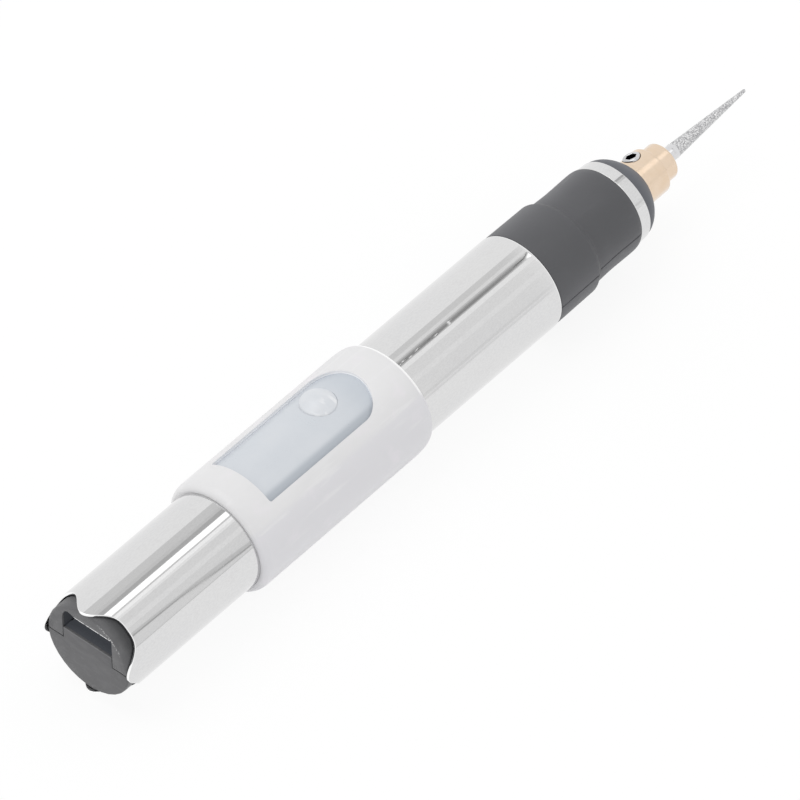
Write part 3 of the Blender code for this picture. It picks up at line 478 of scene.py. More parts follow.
def plugDetail(finish, paint):
    # painted shade round the turned-down edge and inside the finger pocket, painted highlights on the pocket's roof
    # and tab edges, and a lighter flecked line where the edge starts
    along, across, up = finish.axes()
    lift, nearer = up - axisHeight, across * -1
    reach = (across * across + lift * lift) ** 0.5

    def past(value, key, start=0.0):
        low, high = plugLook[key]
        return value.between(start + low * mm, start + high * mm)

    def line(value, place, key):
        return 1 - past(abs(value - plugLook[place] * mm), key)

    mottle = finish.grain(1.2 * mm, 5, (1, 0.45, 1)).between(0.42, 0.7)
    paint = finish.blend(mottle * 0.45, paint, (0.145, 0.145, 0.15))
    # painted shade: the turned-down edge is darker
    above = past(lift, "above")
    edge = past(along, "edgeDepth", tailFace) * past(reach, "edgeReach") * above
    paint = finish.blend(edge * 0.9, paint, (0.03, 0.031, 0.034))
    # a lighter flecked line where the edge starts
    flecks = finish.grain(0.3 * mm, 3).between(0.48, 0.6) * past(nearer, "fleckSide")
    flecks = flecks * (1 - past(nearer, "fleckEnd"))
    paint = finish.blend(line(reach, "lightLineReach", "lightLine") * flecks * above, paint, (0.5, 0.5, 0.5))
    # painted highlights: a light line along the pocket's roof edge, and a fainter one along the tab's top edge
    face = 1 - past(along, "face", tailFace)
    roof = line(lift, "roofLift", "roof") * past(nearer, "roofSide")
    roof = roof * finish.grain(0.5 * mm, 2).between(0.34, 0.46) * (1 - past(nearer, "roofEnd"))
    paint = finish.blend(roof * face, paint, (0.8, 0.8, 0.8))
    tab = line(lift, "tabLift", "tab") * (1 - past(abs(across), "tabSide"))
    paint = finish.blend(tab * face * 0.5, paint, (0.2, 0.2, 0.205))
    # painted shade: the pocket is dark inside, darkest on its far wall, with a faint painted glow
    pocketShade = past(along, "pocketDepth", tailFace) * past(lift, "pocketFloor") * (1 - past(lift, "pocketRoof"))
    pocketShade = pocketShade * (1 - past(abs(across), "pocketSide"))
    paint = finish.blend(pocketShade, paint, (0.028, 0.03, 0.034))
    side = past(across, "farWall")
    paint = finish.blend(pocketShade * side, paint, (0.012, 0.013, 0.015))
    finish.set("Emission Color", finish.blend(pocketShade * (1 - side * 0.35), (0, 0, 0), (0.034, 0.037, 0.043)))
    finish.dull = pocketShade * 0.45
    return paint


plugFinish = moulding("plugMoulding", (0.094, 0.094, 0.098), 1.3, 0.45, 0.3 * mm, 0.014 * mm, 0.2, plugDetail)
# emission for the painted glow inside the pocket
plugFinish.node_tree.nodes["Principled BSDF"].inputs["Emission Strength"].default_value = 1.0
brassFinish = turnedMetal("turnedBrass", (0.80, 0.65, 0.51), (0.77, 0.60, 0.44), 0.2)
print("finishes done")


# The plated tube
barrel = inMm(
    wall=0.5, reach=0.6, notch=3.15, edge=0.1, lip=0.28, lipDrop=0.075, steady=7.0, holeGap=0.01, buttonSide=1.4,
) | {"waves": 4, "turn": math.radians(2.5)}


def buttonHole():
    low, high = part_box("switch_button")
    centre = Matrix.Translation(((low.x + high.x) / 2, barrel["buttonSide"], 0))
    return rodShape((high.x - low.x) / 2 + barrel["holeGap"], low.z, cadBounds[1].z + mm, 64, centre)


def barrelTube():
    bore = tubeRadius - barrel["wall"]
    edge = barrel["edge"]
    front, lip = tubeFront - tailFace, barrel["lip"]
    corners = [
        (0, bore, edge), (0, tubeRadius, edge), (barrel["steady"], tubeRadius, 0),
        (front - 1.5 * lip, tubeRadius, 0), (front - lip, tubeRadius, 0),
        (front, tubeRadius - barrel["lipDrop"], 0), (front, bore, edge),
        (barrel["steady"], bore, 0),
    ]
    shape = turnedShape([(tailFace + along, radius) for along, radius in filleted(corners)], 256)
    for corner in shape.verts:
        if corner.co.x < tailFace + barrel["wall"]:
            angle = math.atan2(-corner.co.y, corner.co.z - axisHeight) + barrel["turn"]
            wave = 1 - math.cos(barrel["waves"] * angle / 2) ** 4
            corner.co.x += (barrel["reach"] + barrel["notch"]) * wave - barrel["reach"]
    shape = combined(shape, buttonHole())
    piece("barrelTube", shape, "housing", platedFinish, ["barrel_tube"], 30)


barrelTube()
print("barrel done")

# The frosted sleeve with its window, the panel in it and the push button
sleeve = inMm(
    rearLip=0.3, rearRound=1.9, frontLip=0.75, shoulder=3.7, edge=0.3, gap=0.15, fit=0.02, noseLength=5.55,
    boreChamfer=0.05, panelRise=0.1, corner=0.35,
)


def windowOutline(inset):
    low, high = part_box("window_panel")
    half = high.y + sleeve["gap"] - inset
    front, rear = high.x + sleeve["gap"] - inset, low.x - sleeve["gap"] + inset
    centre = high.x + sleeve["gap"] - sleeve["noseLength"]
    nose = arcPoints((centre, 0), (front - centre, half), -90, 90, 40)
    corner = sleeve["corner"]
    rearCorners = arcPoints((rear + corner, half - corner), (corner, corner), 90, 180, 4)
    rearCorners += arcPoints((rear + corner, corner - half), (corner, corner), 180, 270, 4)
    return nose + rearCorners


def frostedSleeve():
    low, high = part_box("frosted_sleeve")
    outer = axisHeight
    wall = outer - sleeveBore
    chamfer = sleeve["boreChamfer"]
    shoulder = arcPoints(
        (high.x - sleeve["shoulder"], sleeveBore + sleeve["frontLip"]),
        (sleeve["shoulder"], wall - sleeve["frontLip"]), 0, 90, 20,
    )
    rear = arcPoints(
        (low.x + sleeve["rearRound"], sleeveBore + sleeve["rearLip"]),
        (sleeve["rearRound"], wall - sleeve["rearLip"]), 90, 180, 16,
    )
    middle = [(low.x + sleeve["rearRound"] + (high.x - low.x) * share, outer) for share in (0.8, 0.5, 0.02)]
    bore = [(low.x + chamfer, sleeveBore), (high.x - 0.1 * mm, sleeveBore), (high.x, sleeveBore + 0.1 * mm)]
    shape = turnedShape(shoulder + middle + rear + bore, 192)
    opening = prismShape(windowOutline(0), axisHeight + tubeRadius / 2, axisHeight + outer + mm)
    shape = combined(shape, opening)
    windowLow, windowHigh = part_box("window_panel")

    def atWindow(point):
        inside = windowLow.x - mm < point.x < windowHigh.x + mm and abs(point.y) < windowHigh.y + 0.5 * mm
        return inside and point.z > axisHeight and math.hypot(point.y, point.z - axisHeight) > outer - 0.1 * mm

    edgesSofter(shape, sleeve["edge"], 40, 2, atWindow)
    piece("frostedSleeve", shape, "housing", frostedFinish, ["frosted_sleeve"], 24)


def windowPanel():
    low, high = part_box("window_panel")
    outer = high.z - axisHeight + sleeve["panelRise"]
    rear, front = low.x - sleeve["gap"], high.x + sleeve["gap"]
    points = [(rear, sleeveBore), (rear, outer), (front, outer), (front, sleeveBore)]
    shape = turnedShape(points, 192)
    blank = prismShape(windowOutline(sleeve["fit"]), axisHeight + tubeRadius / 2, axisHeight + 2 * tubeRadius)
    shape = combined(shape, blank, "INTERSECT")
    shape = combined(shape, buttonHole())
    piece("windowPanel", shape, "housing", smokedWithShade(low, high), ["window_panel"], 24)


button = inMm(crown=1.22, rim=0.45, foot=0.1) | {"crownSteps": 16}


def pushButton():
    low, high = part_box("switch_button")
    radius, centre = (high.x - low.x) / 2, (low.x + high.x) / 2
    rise = high.z - low.z
    edge = rise - button["crown"]
    rim, foot, steps = button["rim"], button["foot"], button["crownSteps"]
    profile = [(0, 0), (radius - foot, 0), (radius, foot), (radius, edge - foot)]
    profile += arcPoints((radius - rim, edge - foot), (rim, rim), 0, 50, 5)
    start = profile[-1]
    for step in range(1, steps + 1):
        share = step / steps
        profile.append((start[0] * (1 - share), start[1] + (rise - start[1]) * math.sin(math.pi / 2 * share)))
    side = barrel["buttonSide"]
    line = [(centre + across, side, low.z + up) for across, up in profile]
    shape = spun(line, (centre, side, 0), (0, 0, 1), 96)
    finish = Finish("milkyPlastic", (0.72, 0.74, 0.78), 0.3, Coat_Weight=0.25, Coat_Roughness=0.2)
    cloud = finish.grain(2.5 * mm, 3)
    paint = finish.blend(cloud.between(0.3, 0.8), (0.66, 0.685, 0.72), (0.70, 0.717, 0.747))
    across = finish.axes()[1]
    # painted highlight: soft light streaks on the button's near side
    glint = finish.grain(1.3 * mm, 2, (1, 0.25, 1)).between(0.5, 0.62) * (across * -1).between(-1.6 * mm, 0.2 * mm)
    paint = finish.blend(glint * 0.6, paint, (0.86, 0.865, 0.88))
    finish.set("Base Color", paint)
    finish.set("Roughness", cloud * 0.15 + 0.25)
    finish.bump(finish.grain(0.15 * mm, 2), 0.006 * mm, 0.4)
    piece("pushButton", shape, "button", finish.material, ["switch_button"], 60)


frostedSleeve()
windowPanel()
pushButton()
print("sleeve, window and button done")

# The two-shell grip
grip = inMm(
    waist=13.3, step=1.6, inset=0.13, taper=0.1, wall=1.45, riseRear=0.12, riseFront=0.07, waistPlace=6.0,
    flarePlace=11.7, frontRound=0.3, frontRun=1.4, gap=0.15, seamEdge=0.12, shoulderGap=0.15, shoulderRound=0.2,
    shoulderRun=0.6, edge=0.1, tenonEdge=0.3,
)


def eased(start, end, share):
    return start + (end - start) * (1 - math.cos(math.pi * share)) / 2


def gripPoints():
    low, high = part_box("grip_lower_shell")
    bore, edge = motorBore, grip["edge"]
    rounding, tenon = grip["shoulderRound"], grip["tenonEdge"]
    waist = bore + grip["wall"]
    flare, foot = waist + grip["riseFront"], waist + grip["riseRear"]
    collar = tubeRadius - grip["inset"]
    front, step = high.x, high.x - grip["waist"]
    shoulder = tubeFront + grip["shoulderGap"]
    points = [(front - edge, bore), (front, bore + edge)]
    points += arcPoints(
        (front - grip["frontRun"], flare - grip["frontRound"]), (grip["frontRun"], grip["frontRound"]), 0, 90, 10
    )
    stages = [
        (step + grip["flarePlace"], flare, step + grip["waistPlace"], waist),
        (step + grip["waistPlace"], waist, step + grip["step"], foot),
        (step + grip["step"], foot, step, collar - grip["taper"]),
    ]
    for start, startRadius, end, endRadius in stages:
        for index in range(12):
            share = index / 12
            points.append((start + (end - start) * share, eased(startRadius, endRadius, share)))
    points.append((step, collar - grip["taper"]))
    points.append((shoulder + grip["shoulderRun"], collar))
    points += arcPoints((shoulder + rounding, collar - rounding), (rounding, rounding), 90, 180, 4)
    points += [(shoulder, plugRadius), (low.x + tenon, plugRadius), (low.x, plugRadius - tenon), (low.x, bore)]
    return points


def gripShell(name, side, node):
    # one half: the turned form cut level with the axis, its new walls filled and the seam's edges eased
    shape = turnedShape(gripPoints(), 192)
    level = axisHeight + side * grip["gap"] / 2
    cut = bmesh.ops.bisect_plane(
        shape, geom=shape.verts[:] + shape.edges[:] + shape.faces[:], dist=0.0005 * mm, plane_co=(0, 0, level),
        plane_no=(0, 0, side), clear_inner=True,
    )
    edges = [item for item in cut["geom_cut"] if isinstance(item, bmesh.types.BMEdge)]
    bmesh.ops.holes_fill(shape, edges=edges, sides=0)
    tidied(shape)

    def atSeam(point):
        return abs(point.z - level) < 0.01 * mm and abs(point.y) > 0.8 * tubeRadius and point.x > tubeFront

    edgesSofter(shape, grip["seamEdge"], 60, 1, atSeam)
    piece(name, shape, "housing", gripFinish, [node], 30)


gripShell("gripUpperShell", 1, "grip_upper_shell")
gripShell("gripLowerShell", -1, "grip_lower_shell")
print("grip done")

# The trim ring and the nose
nose = inMm(inset=0.17, lip=0.12, gap=0.3, land=0.75, wall=1.0, taper=0.1, rearEdge=0.3, holeEdge=0.04)
nose["fullness"] = 1.9


def trimRing():
    low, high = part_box("trim_ring")
    outer = (high.y - low.y) / 2 / math.cos(math.pi / 32)
    corners = [
        (low.x, motorBore, 0.1 * mm), (low.x, outer, 0.07 * mm), (high.x, outer - nose["taper"], 0.14 * mm),
        (high.x, motorBore, 0.1 * mm),
    ]
    piece("trimRing", turnedShape(filleted(corners), 192), "housing", ringFinish, ["trim_ring"])
    return outer - nose["taper"]


def noseCap(ringFront):
    low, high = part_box("nose_cap")
    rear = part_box("trim_ring")[1].x + 0.1 * mm
    radius = ringFront - nose["inset"]
    hole = chuckRadius + nose["gap"]
    lip = hole + nose["lip"]
    points = [(high.x, hole + nose["holeEdge"]), (high.x, lip)]
    length = high.x - rear
    for index in range(1, 33):
        share = 1 - index / 32
        points.append((rear + length * share, radius - (radius - lip) * share ** nose["fullness"]))
    points += [
        (rear, motorRadius), (low.x + nose["rearEdge"], motorRadius), (low.x, motorRadius - nose["rearEdge"]),
        (low.x, motorRadius - nose["wall"]), (high.x - length / 2, motorRadius - nose["wall"]),
        (high.x - nose["land"], hole), (high.x - nose["holeEdge"], hole),
    ]
    piece("noseCap", turnedShape(points, 192), "housing", noseFinish, ["nose_cap"], 34)


noseCap(trimRing())
print("ring and nose done")

# The chuck, its clamp screw and the burr
chuck = inMm(
    step=3.4, round=0.45, shaftGrip=2.9, shaftBore=1.05, shankBore=1.55, screwGap=0.11, screwBack=0.5,
    mouth=0.12, crease=0.1, rearRound=0.25, boreGap=0.2, holeEdge=0.08,
) | {"colletShare": 0.79, "screwTurn": math.radians(5)}


def screwFrame():
    # a turn that takes z to the screw's own axis, from a point on the pen's axis
    joint = [item for item in frame["joints"] if item["name"] == "clamp_screw_travel"][0]
    along = Matrix.Rotation(chuck["screwTurn"], 3, "X") @ Vector(joint["axis"]).normalized()
    low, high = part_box("set_screw")
    turn = Vector((0, 0, 1)).rotation_difference(along).to_matrix().to_4x4()
    place = Matrix.Translation(((low.x + high.x) / 2 - chuck["screwBack"], 0, axisHeight))
    return place @ turn, (high.x - low.x) / 2


def brassChuck():
    low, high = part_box("brass_chuck")
    big = chuckRadius
    small = chuck["colletShare"] * big
    step, boreEnd = high.x - chuck["step"], low.x + chuck["shaftGrip"] + chuck["boreGap"]
    crease = chuck["crease"]
    corners = [
        (high.x, chuck["shankBore"], chuck["mouth"]), (high.x, small, chuck["round"]), (step, small, crease),
        (step, big, chuck["round"] * 0.8), (low.x, big, chuck["rearRound"]), (low.x, chuck["shaftBore"], crease),
        (boreEnd, chuck["shaftBore"], 0), (boreEnd, chuck["shankBore"], 0),
    ]
    shape = turnedShape(filleted(corners, 5), 160)
    turn, radius = screwFrame()
    shape = combined(shape, rodShape(radius + chuck["screwGap"], 0, 2 * big, 64, turn))

    def atHole(point):
        outside = math.hypot(point.y, point.z - axisHeight) > big - 1 * mm
        return outside and abs(point.x - turn.translation.x) < 2 * mm

    edgesSofter(shape, chuck["holeEdge"], 50, 1, atHole)
    piece("brassChuck", shape, "spindle", brassFinish, ["brass_chuck"], 26)


screw = inMm(
    sink=-0.2, tip=1.75, pitch=0.4, thread=0.14, socket=1.95, depth=1.2, flat=0.35, round=0.2, tipInset=0.5,
    tipNeck=0.2, tipRise=0.3, threadStart=0.4, socketEdge=0.06,
)
screwHead = chuckRadius - screw["sink"]


def screwDetail(finish, paint):
    # painted shade: the socket is dark inside
    turn, radius = screwFrame()
    axis = turn.col[2].xyz
    offset = finish.node("VectorMath", {"operation": "SUBTRACT"}, {0: finish.place, 1: turn.translation})
    depth = finish.node("VectorMath", {"operation": "DOT_PRODUCT"}, {0: offset, 1: axis}, out="Value")
    across = finish.node("VectorMath", {"operation": "CROSS_PRODUCT"}, {0: offset, 1: axis})
    reach = finish.node("VectorMath", {"operation": "LENGTH"}, {0: across}, out="Value")
    inside = 1 - reach.between(0.6 * screw["socket"], 0.62 * screw["socket"])
    inside = inside * (1 - depth.between(screwHead - 0.1 * mm, screwHead - 0.05 * mm))
    return finish.blend(inside, paint, (0.05, 0.05, 0.075))


def setScrew():
    turn, radius = screwFrame()
    head, rounding = screwHead, screw["round"]
    tip = screw["tip"]
    profile = [(0, tip), (radius - screw["tipInset"], tip), (radius - screw["tipNeck"], tip + screw["tipRise"])]
    level = tip + screw["threadStart"]
    while level < head - screw["flat"] - screw["pitch"]:
        profile += [(radius - screw["thread"], level), (radius, level + screw["pitch"] / 2)]
        level += screw["pitch"]
    profile += [(radius, head - screw["flat"]), (radius, head - rounding)]
    profile += arcPoints((radius - rounding, head - rounding), (rounding, rounding), 0, 90, 4)
    profile.append((0, head))
    shape = spun([(across, 0, up) for across, up in profile], (0, 0, 0), (0, 0, 1), 96)
    hexRadius = screw["socket"] / 2 / math.cos(math.pi / 6)
    shape = combined(shape, rodShape(hexRadius, head - screw["depth"], head + mm, 6, Matrix.Identity(4)))

    def atSocket(point):
        return point.z > head - 0.01 * mm and point.xy.length < radius * 0.75

    edgesSofter(shape, screw["socketEdge"], 50, 1, atSocket)
    bmesh.ops.transform(shape, matrix=turn, verts=shape.verts)
    finish = turnedMetal("brightScrew", (0.66, 0.66, 0.67), (0.5, 0.5, 0.51), 0.22, detail=screwDetail)
    piece("setScrew", tidied(shape), "clamp_screw", finish, ["set_screw"], 30)


burr = inMm(grit=20.3, shank=1.5, root=1.47, tip=0.33, grain=0.14, height=0.06, edge=0.15)
burr.update(rings=190, cap=0.8)


def burrFinish(start):
    finish = Finish("diamondGrit", (0.62, 0.62, 0.62), 0.4, 0.55)
    along = finish.axes()[0]
    head = along.between(start - 0.1 * mm, start + 0.1 * mm)
    grains = finish.node(
        "TexVoronoi", {"feature": "F1"}, {"Vector": finish.place, "Scale": 0.75 / burr["grain"]}, out="Color"
    )
    tone = finish.node("SeparateColor", values={0: grains}).between(0.05, 0.95)
    matrix = finish.grain(0.5 * mm, 3)
    grit = finish.blend(tone ** 1.5, (0.37, 0.37, 0.38), (0.84, 0.84, 0.84))
    grit = finish.blend(matrix.between(0.4, 0.8) * 0.5, grit, (0.5, 0.5, 0.51))
    finish.set("Base Color", finish.blend(head, (0.70, 0.70, 0.71), grit))
    finish.set("Roughness", head * (tone * 0.3 + 0.1) + finish.grain(0.6 * mm, 2, (0.1, 1, 1)) * 0.1 + 0.08)
    finish.set("Metallic", 1 - head * 0.6)
    return finish.material


def diamondBurr():
    low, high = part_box("diamond_burr")
    start = high.x - burr["grit"]
    corners = [(low.x, 0), (low.x, burr["shank"] - burr["edge"]), (low.x + burr["edge"], burr["shank"])]
    corners += [(low.x + 2 * mm, burr["shank"]), (start - 1.2 * mm, burr["shank"])]
    corners += [(start - 0.12 * mm, burr["shank"]), (start, burr["root"] - 0.03 * mm)]
    end = high.x - burr["tip"] * burr["cap"]
    for index in range(1, burr["rings"] + 1):
        share = index / burr["rings"]
        corners.append((start + (end - start) * share, burr["root"] + (burr["tip"] - burr["root"]) * share))
    corners += arcPoints((end, 0), (burr["tip"] * burr["cap"], burr["tip"]), 80, 0, 6)
    shape = turnedShape(corners, 84, closed=False)
    for corner in shape.verts:
        if corner.co.x > start + 0.02 * mm:
            outward = Vector((0, corner.co.y, corner.co.z - axisHeight))
            size = outward.length
            if size < 0.05 * mm:
                continue
            spot = corner.co / burr["grain"]
            bump = 0.5 * (1 - min(noise.voronoi(spot)[0][0] * 1.4, 1)) + 0.25 * noise.noise(spot * 0.6)
            corner.co += outward.normalized() * (bump - 0.3) * burr["height"] * min(1, size / burr["tip"])
    piece("diamondBurr", shape, "burr", burrFinish(start), ["diamond_burr"], 180)


brassChuck()
setScrew()
diamondBurr()
print("chuck, screw and burr done")

# The tail plug, the drawer and what it carries
plug = inMm(flat=8.06, round=1.3, edge=0.6, cornerDepth=4.9, bevel=0.12)
plug["corner"] = [(5.55, 4.8), (5.55, 5.6), (5.0, 6.6), (4.4, 6.9), (3.8, 6.8), (2.5, 6.3), (4.4, 5.9)]


def tailInsert():
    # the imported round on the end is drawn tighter, without moving the pocket's corners
    shape = mergedCopy("tail_insert")
    for corner in shape.verts:
        reach = math.hypot(corner.co.y, corner.co.z - axisHeight)
        depth = corner.co.x - tailFace
        if plug["flat"] < reach and depth < plug["round"] - 0.01 * mm:
            beyond = min(max(reach - (plugRadius - plug["edge"]), 0), plug["edge"])
            corner.co.x = tailFace + plug["edge"] - math.sqrt(plug["edge"] ** 2 - beyond ** 2)
    # the pocket's upper far corner reaches a little higher than its roof
    turn = Matrix(((0, 0, 1, 0), (1, 0, 0, 0), (0, 1, 0, axisHeight), (0, 0, 0, 1)))
    outline = [(across * mm, lift * mm) for across, lift in plug["corner"]]
    shape = combined(shape, prismShape(outline, tailFace - mm, tailFace + plug["cornerDepth"], turn))
    shape = edgesSofter(shape, plug["bevel"], 40, 2)
    piece("tailInsert", shape, "housing", plugFinish, ["tail_insert"], 30)


tailInsert()
drawer = edgesSofter(mergedCopy("battery_drawer"), 0.1 * mm, 40, 2)
piece("batteryDrawer", drawer, "drawer", plugFinish, ["battery_drawer"], 30)

# painted shade: a dark shelf behind the drawer's tab stands in for the shade there, so that the spring doesn't show
# past it
shelf = inMm(rear=1.9, front=4.9, half=5.4, low=1.96, high=2.16)
rear, front, half = tailFace + shelf["rear"], tailFace + shelf["front"], shelf["half"]
outline = [(rear, -half), (front, -half), (front, half), (rear, half)]
tabShelf = prismShape(outline, axisHeight + shelf["low"], axisHeight + shelf["high"])
piece("tabShelf", edgesSofter(tabShelf, 0.04 * mm), "drawer", plugFinish)


def cellFinish(name, start, end):
    # a plain two-tone wrap with a bare metal end at each side
    finish = Finish(name, (0.06, 0.09, 0.16), 0.3, 0.3, Coat_Weight=0.5, Coat_Roughness=0.1)
    along = finish.axes()[0]
    length = end - start
    band = along.between(end - length * 0.24, end - length * 0.24 + 0.1 * mm)
    bare = 1 - along.between(start + 0.4 * mm, start + 0.6 * mm) + along.between(end - 1.7 * mm, end - 1.5 * mm)
    wrinkle = finish.grain(1.2 * mm, 3, (0.3, 1, 1))
    paint = finish.blend(band, (0.035, 0.05, 0.09), (0.42, 0.30, 0.13))
    paint = finish.blend(wrinkle.between(0.4, 0.8) * 0.25, paint, (0.3, 0.3, 0.32))
    finish.set("Base Color", finish.blend(bare, paint, (0.72, 0.72, 0.73)))
    finish.set("Metallic", bare * 0.7 + 0.3)
    finish.set("Roughness", wrinkle * 0.15 + 0.18)
    finish.bump(wrinkle, 0.01 * mm, 0.4)
    return finish.material


can = inMm(nub=1.0, nubRadius=1.9, nubRound=0.25, round=0.45, crease=0.1, rearDish=0.25, frontDish=0.4)


def cell(name, node):
    low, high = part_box(node)
    radius = (high.y - low.y) / 2
    middle = (low.z + high.z) / 2
    nub, crease = high.x - can["nub"], can["crease"]
    dish = nub - can["frontDish"]
    corners = [
        (low.x, 0, 0), (low.x, radius * 0.62, crease), (low.x + can["rearDish"], radius * 0.7, crease),
        (low.x, radius * 0.8, crease), (low.x, radius, can["round"]), (nub, radius, can["round"]),
        (nub, radius * 0.72, crease), (dish, radius * 0.6, crease), (dish, can["nubRadius"], crease),
        (high.x, can["nubRadius"], can["nubRound"]), (high.x, 0, 0),
    ]
    shape = turnedShape(filleted(corners, 3, 0.06 * mm), 96, closed=False)
    bmesh.ops.translate(shape, verts=shape.verts, vec=(0, (low.y + high.y) / 2, middle - axisHeight))
    piece(name, shape, "drawer", cellFinish(name + "Wrap", low.x, high.x), [node], 40)


cell("rearCell", "battery_rear")
cell("frontCell", "battery_front")

spring = {"turns": 5, "perTurn": 36, "wire": 0.35 * mm, "base": 3.8 * mm, "top": 2.6 * mm}


def batterySpring():
    low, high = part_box("battery_spring")
    middle = (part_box("battery_rear")[0].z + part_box("battery_rear")[1].z) / 2
    curve = bpy.data.curves.new("batterySpring", "CURVE")
    curve.dimensions = "3D"
    curve.bevel_depth = spring["wire"]
    curve.bevel_resolution = 4
    curve.use_fill_caps = True
    line = curve.splines.new("POLY")
    total = spring["turns"] * spring["perTurn"]
    line.points.add(total)
    for index, point in enumerate(line.points):
        share = index / total
        angle = 2 * math.pi * spring["turns"] * share
        radius = spring["base"] + (spring["top"] - spring["base"]) * share
        start, end = low.x + spring["wire"], high.x - spring["wire"]
        point.co = (start + (end - start) * share, -radius * math.sin(angle), middle + radius * math.cos(angle), 1)
    item = linked("batterySpring", curve)
    curve.materials.append(plainFinish("springWire", (0.6, 0.6, 0.61), (0.7, 0.7, 0.7), 0.22, 1.0))
    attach(item, "drawer")
    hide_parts("battery_spring")


batterySpring()
print("drawer done")

# Finishes of the pieces inside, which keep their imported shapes
inner = {
    "black_moulding": ("blackMoulding", (0.022, 0.022, 0.023), (0.035, 0.035, 0.036), 0.5),
    "circuit_board": ("boardLacquer", (0.02, 0.13, 0.06), (0.03, 0.18, 0.08), 0.3),
    "motor_steel": ("motorPlate", (0.56, 0.56, 0.57), (0.48, 0.48, 0.49), 0.3, 1.0),
    "magnet": ("ferrite", (0.035, 0.035, 0.037), (0.06, 0.06, 0.06), 0.6),
    "copper": ("copperWire", (0.72, 0.33, 0.17), (0.6, 0.25, 0.12), 0.3, 1.0),
    "bronze": ("sinteredBronze", (0.45, 0.29, 0.13), (0.35, 0.21, 0.09), 0.5, 1.0),
    "contact": ("contactStrip", (0.78, 0.62, 0.36), (0.7, 0.52, 0.28), 0.25, 1.0),
    "red_lead": ("redInsulation", (0.42, 0.02, 0.02), (0.5, 0.03, 0.03), 0.45),
    "black_lead": ("blackInsulation", (0.015, 0.015, 0.016), (0.03, 0.03, 0.03), 0.45),
}
inner = {slotName: plainFinish(*look) for slotName, look in inner.items()}
for part in frame["record"]["subparts"]:
    if part["material_slot"] in inner:
        node = frame["nodes"][part["node"]]
        node.data.materials.clear()
        node.data.materials.append(inner[part["material_slot"]])
print("inner finishes done")

# Camera: fitted to the photograph's round edges
view = {"aim": 83.85 * mm, "distance": 1.532, "right": 1.194 * mm, "up": 3.775 * mm, "lens": 391.5,
        "azimuth": -138.7956, "elevation": 46.8459, "roll": -0.727}


def photoCamera():
    azimuth, elevation, roll = (math.radians(view[key]) for key in ("azimuth", "elevation", "roll"))
    back = Vector((
        math.cos(elevation) * math.cos(azimuth), math.cos(elevation) * math.sin(azimuth), math.sin(elevation)
    ))
    level = Vector((-math.sin(azimuth), math.cos(azimuth), 0))
    right = level * math.cos(roll) + back.cross(level) * math.sin(roll)
    up = back.cross(right)
    aim = Vector((tailFace + view["aim"], 0, axisHeight))
    data = bpy.data.cameras.new("camera")
    data.lens = view["lens"]
    data.clip_end = 20
    camera = linked("camera", data)
    turn = Matrix((right, up, back)).transposed().to_4x4()
    place = aim + back * view["distance"] - right * view["right"] - up * view["up"]
    camera.matrix_world = Matrix.Translation(place) @ turn
    bpy.context.scene.camera = camera
    return place


eye = photoCamera()

# Studio: a white surround, one soft lamp, and strips that only the metal sees
studio = {"world": 0.86, "lamp": 5.0, "lampPlace": (-0.15, 0.55, 1.45), "lampSize": 1.1, "floor": 4.0,
          "floorShare": 0.12, "floorWhite": 0.93, "floorGlow": 1.01, "stripAway": 0.55, "stripStep": 2.0,
          "curveAway": 0.5, "hookAway": 0.04, "speckAway": 0.03}


def rayShade(shades, tree):
    # an emission whose strength depends on the kind of ray: camera and mirror rays see plain white
    path = tree.nodes.new("ShaderNodeLightPath")
    seen = Value(tree, path.outputs["Is Camera Ray"]) + Value(tree, path.outputs["Is Glossy Ray"])
    seen = seen + Value(tree, path.outputs["Is Transmission Ray"])
    return seen.between(0, 1) * (shades[0] - shades[1]) + shades[1]


def whiteWorld():
    world = bpy.data.worlds.new("surround")
    world.use_nodes = True
    bpy.context.scene.world = world
    shade = world.node_tree.nodes["Background"]
    shade.inputs["Color"].default_value = (1, 1, 1, 1)
    strength = rayShade((1.0, studio["world"]), world.node_tree)
    world.node_tree.links.new(strength.socket, shade.inputs["Strength"])


def floorPlane():
    shape = bmesh.new()
    bmesh.ops.create_grid(shape, x_segments=1, y_segments=1, size=studio["floor"])
    finish = Finish("floorWhite", (studio["floorWhite"],) * 3, 1.0, Specular_IOR_Level=0.0)
    tree = finish.tree
    white = finish.node("Emission", values={"Strength": studio["floorGlow"]})
    share = rayShade((1 - studio["floorShare"], 0.0), tree)
    mixed = finish.node("MixShader", values={0: share, 1: Value(tree, finish.shader.outputs[0]), 2: white})
    tree.links.new(mixed.socket, tree.nodes["Material Output"].inputs["Surface"])
    mesh = meshFrom("floor", shape)
    mesh.materials.append(finish.material)
    linked("floor", mesh)


def softLamp():
    data = bpy.data.lights.new("softLamp", "AREA")
    data.energy = studio["lamp"]
    data.size = studio["lampSize"]
    place = Vector(studio["lampPlace"])
    turn = place.to_track_quat("Z", "Y").to_matrix().to_4x4()
    linked("softLamp", data).matrix_world = Matrix.Translation(place) @ turn


def mirrored(station, angle, radius, away):
    # where a camera ray goes that meets a turned surface at a station and an angle from the camera's side
    toCamera = Vector((0, eye.y, eye.z - axisHeight)).normalized()
    side = Vector((1, 0, 0)).cross(toCamera)
    normal = toCamera * math.cos(math.radians(angle)) + side * math.sin(math.radians(angle))
    spot = Vector((tailFace + station, 0, axisHeight)) + normal * radius
    ray = (spot - eye).normalized()
    ray -= 2 * ray.dot(normal) * normal
    return spot + ray * away


def glowing(name, shade):
    material = bpy.data.materials.new(name)
    material.use_nodes = True
    tree = material.node_tree
    tree.nodes.remove(tree.nodes["Principled BSDF"])
    glow = tree.nodes.new("ShaderNodeEmission")
    glow.inputs["Color"].default_value = (shade, shade, shade, 1)
    tree.links.new(glow.outputs[0], tree.nodes["Material Output"].inputs["Surface"])
    return material


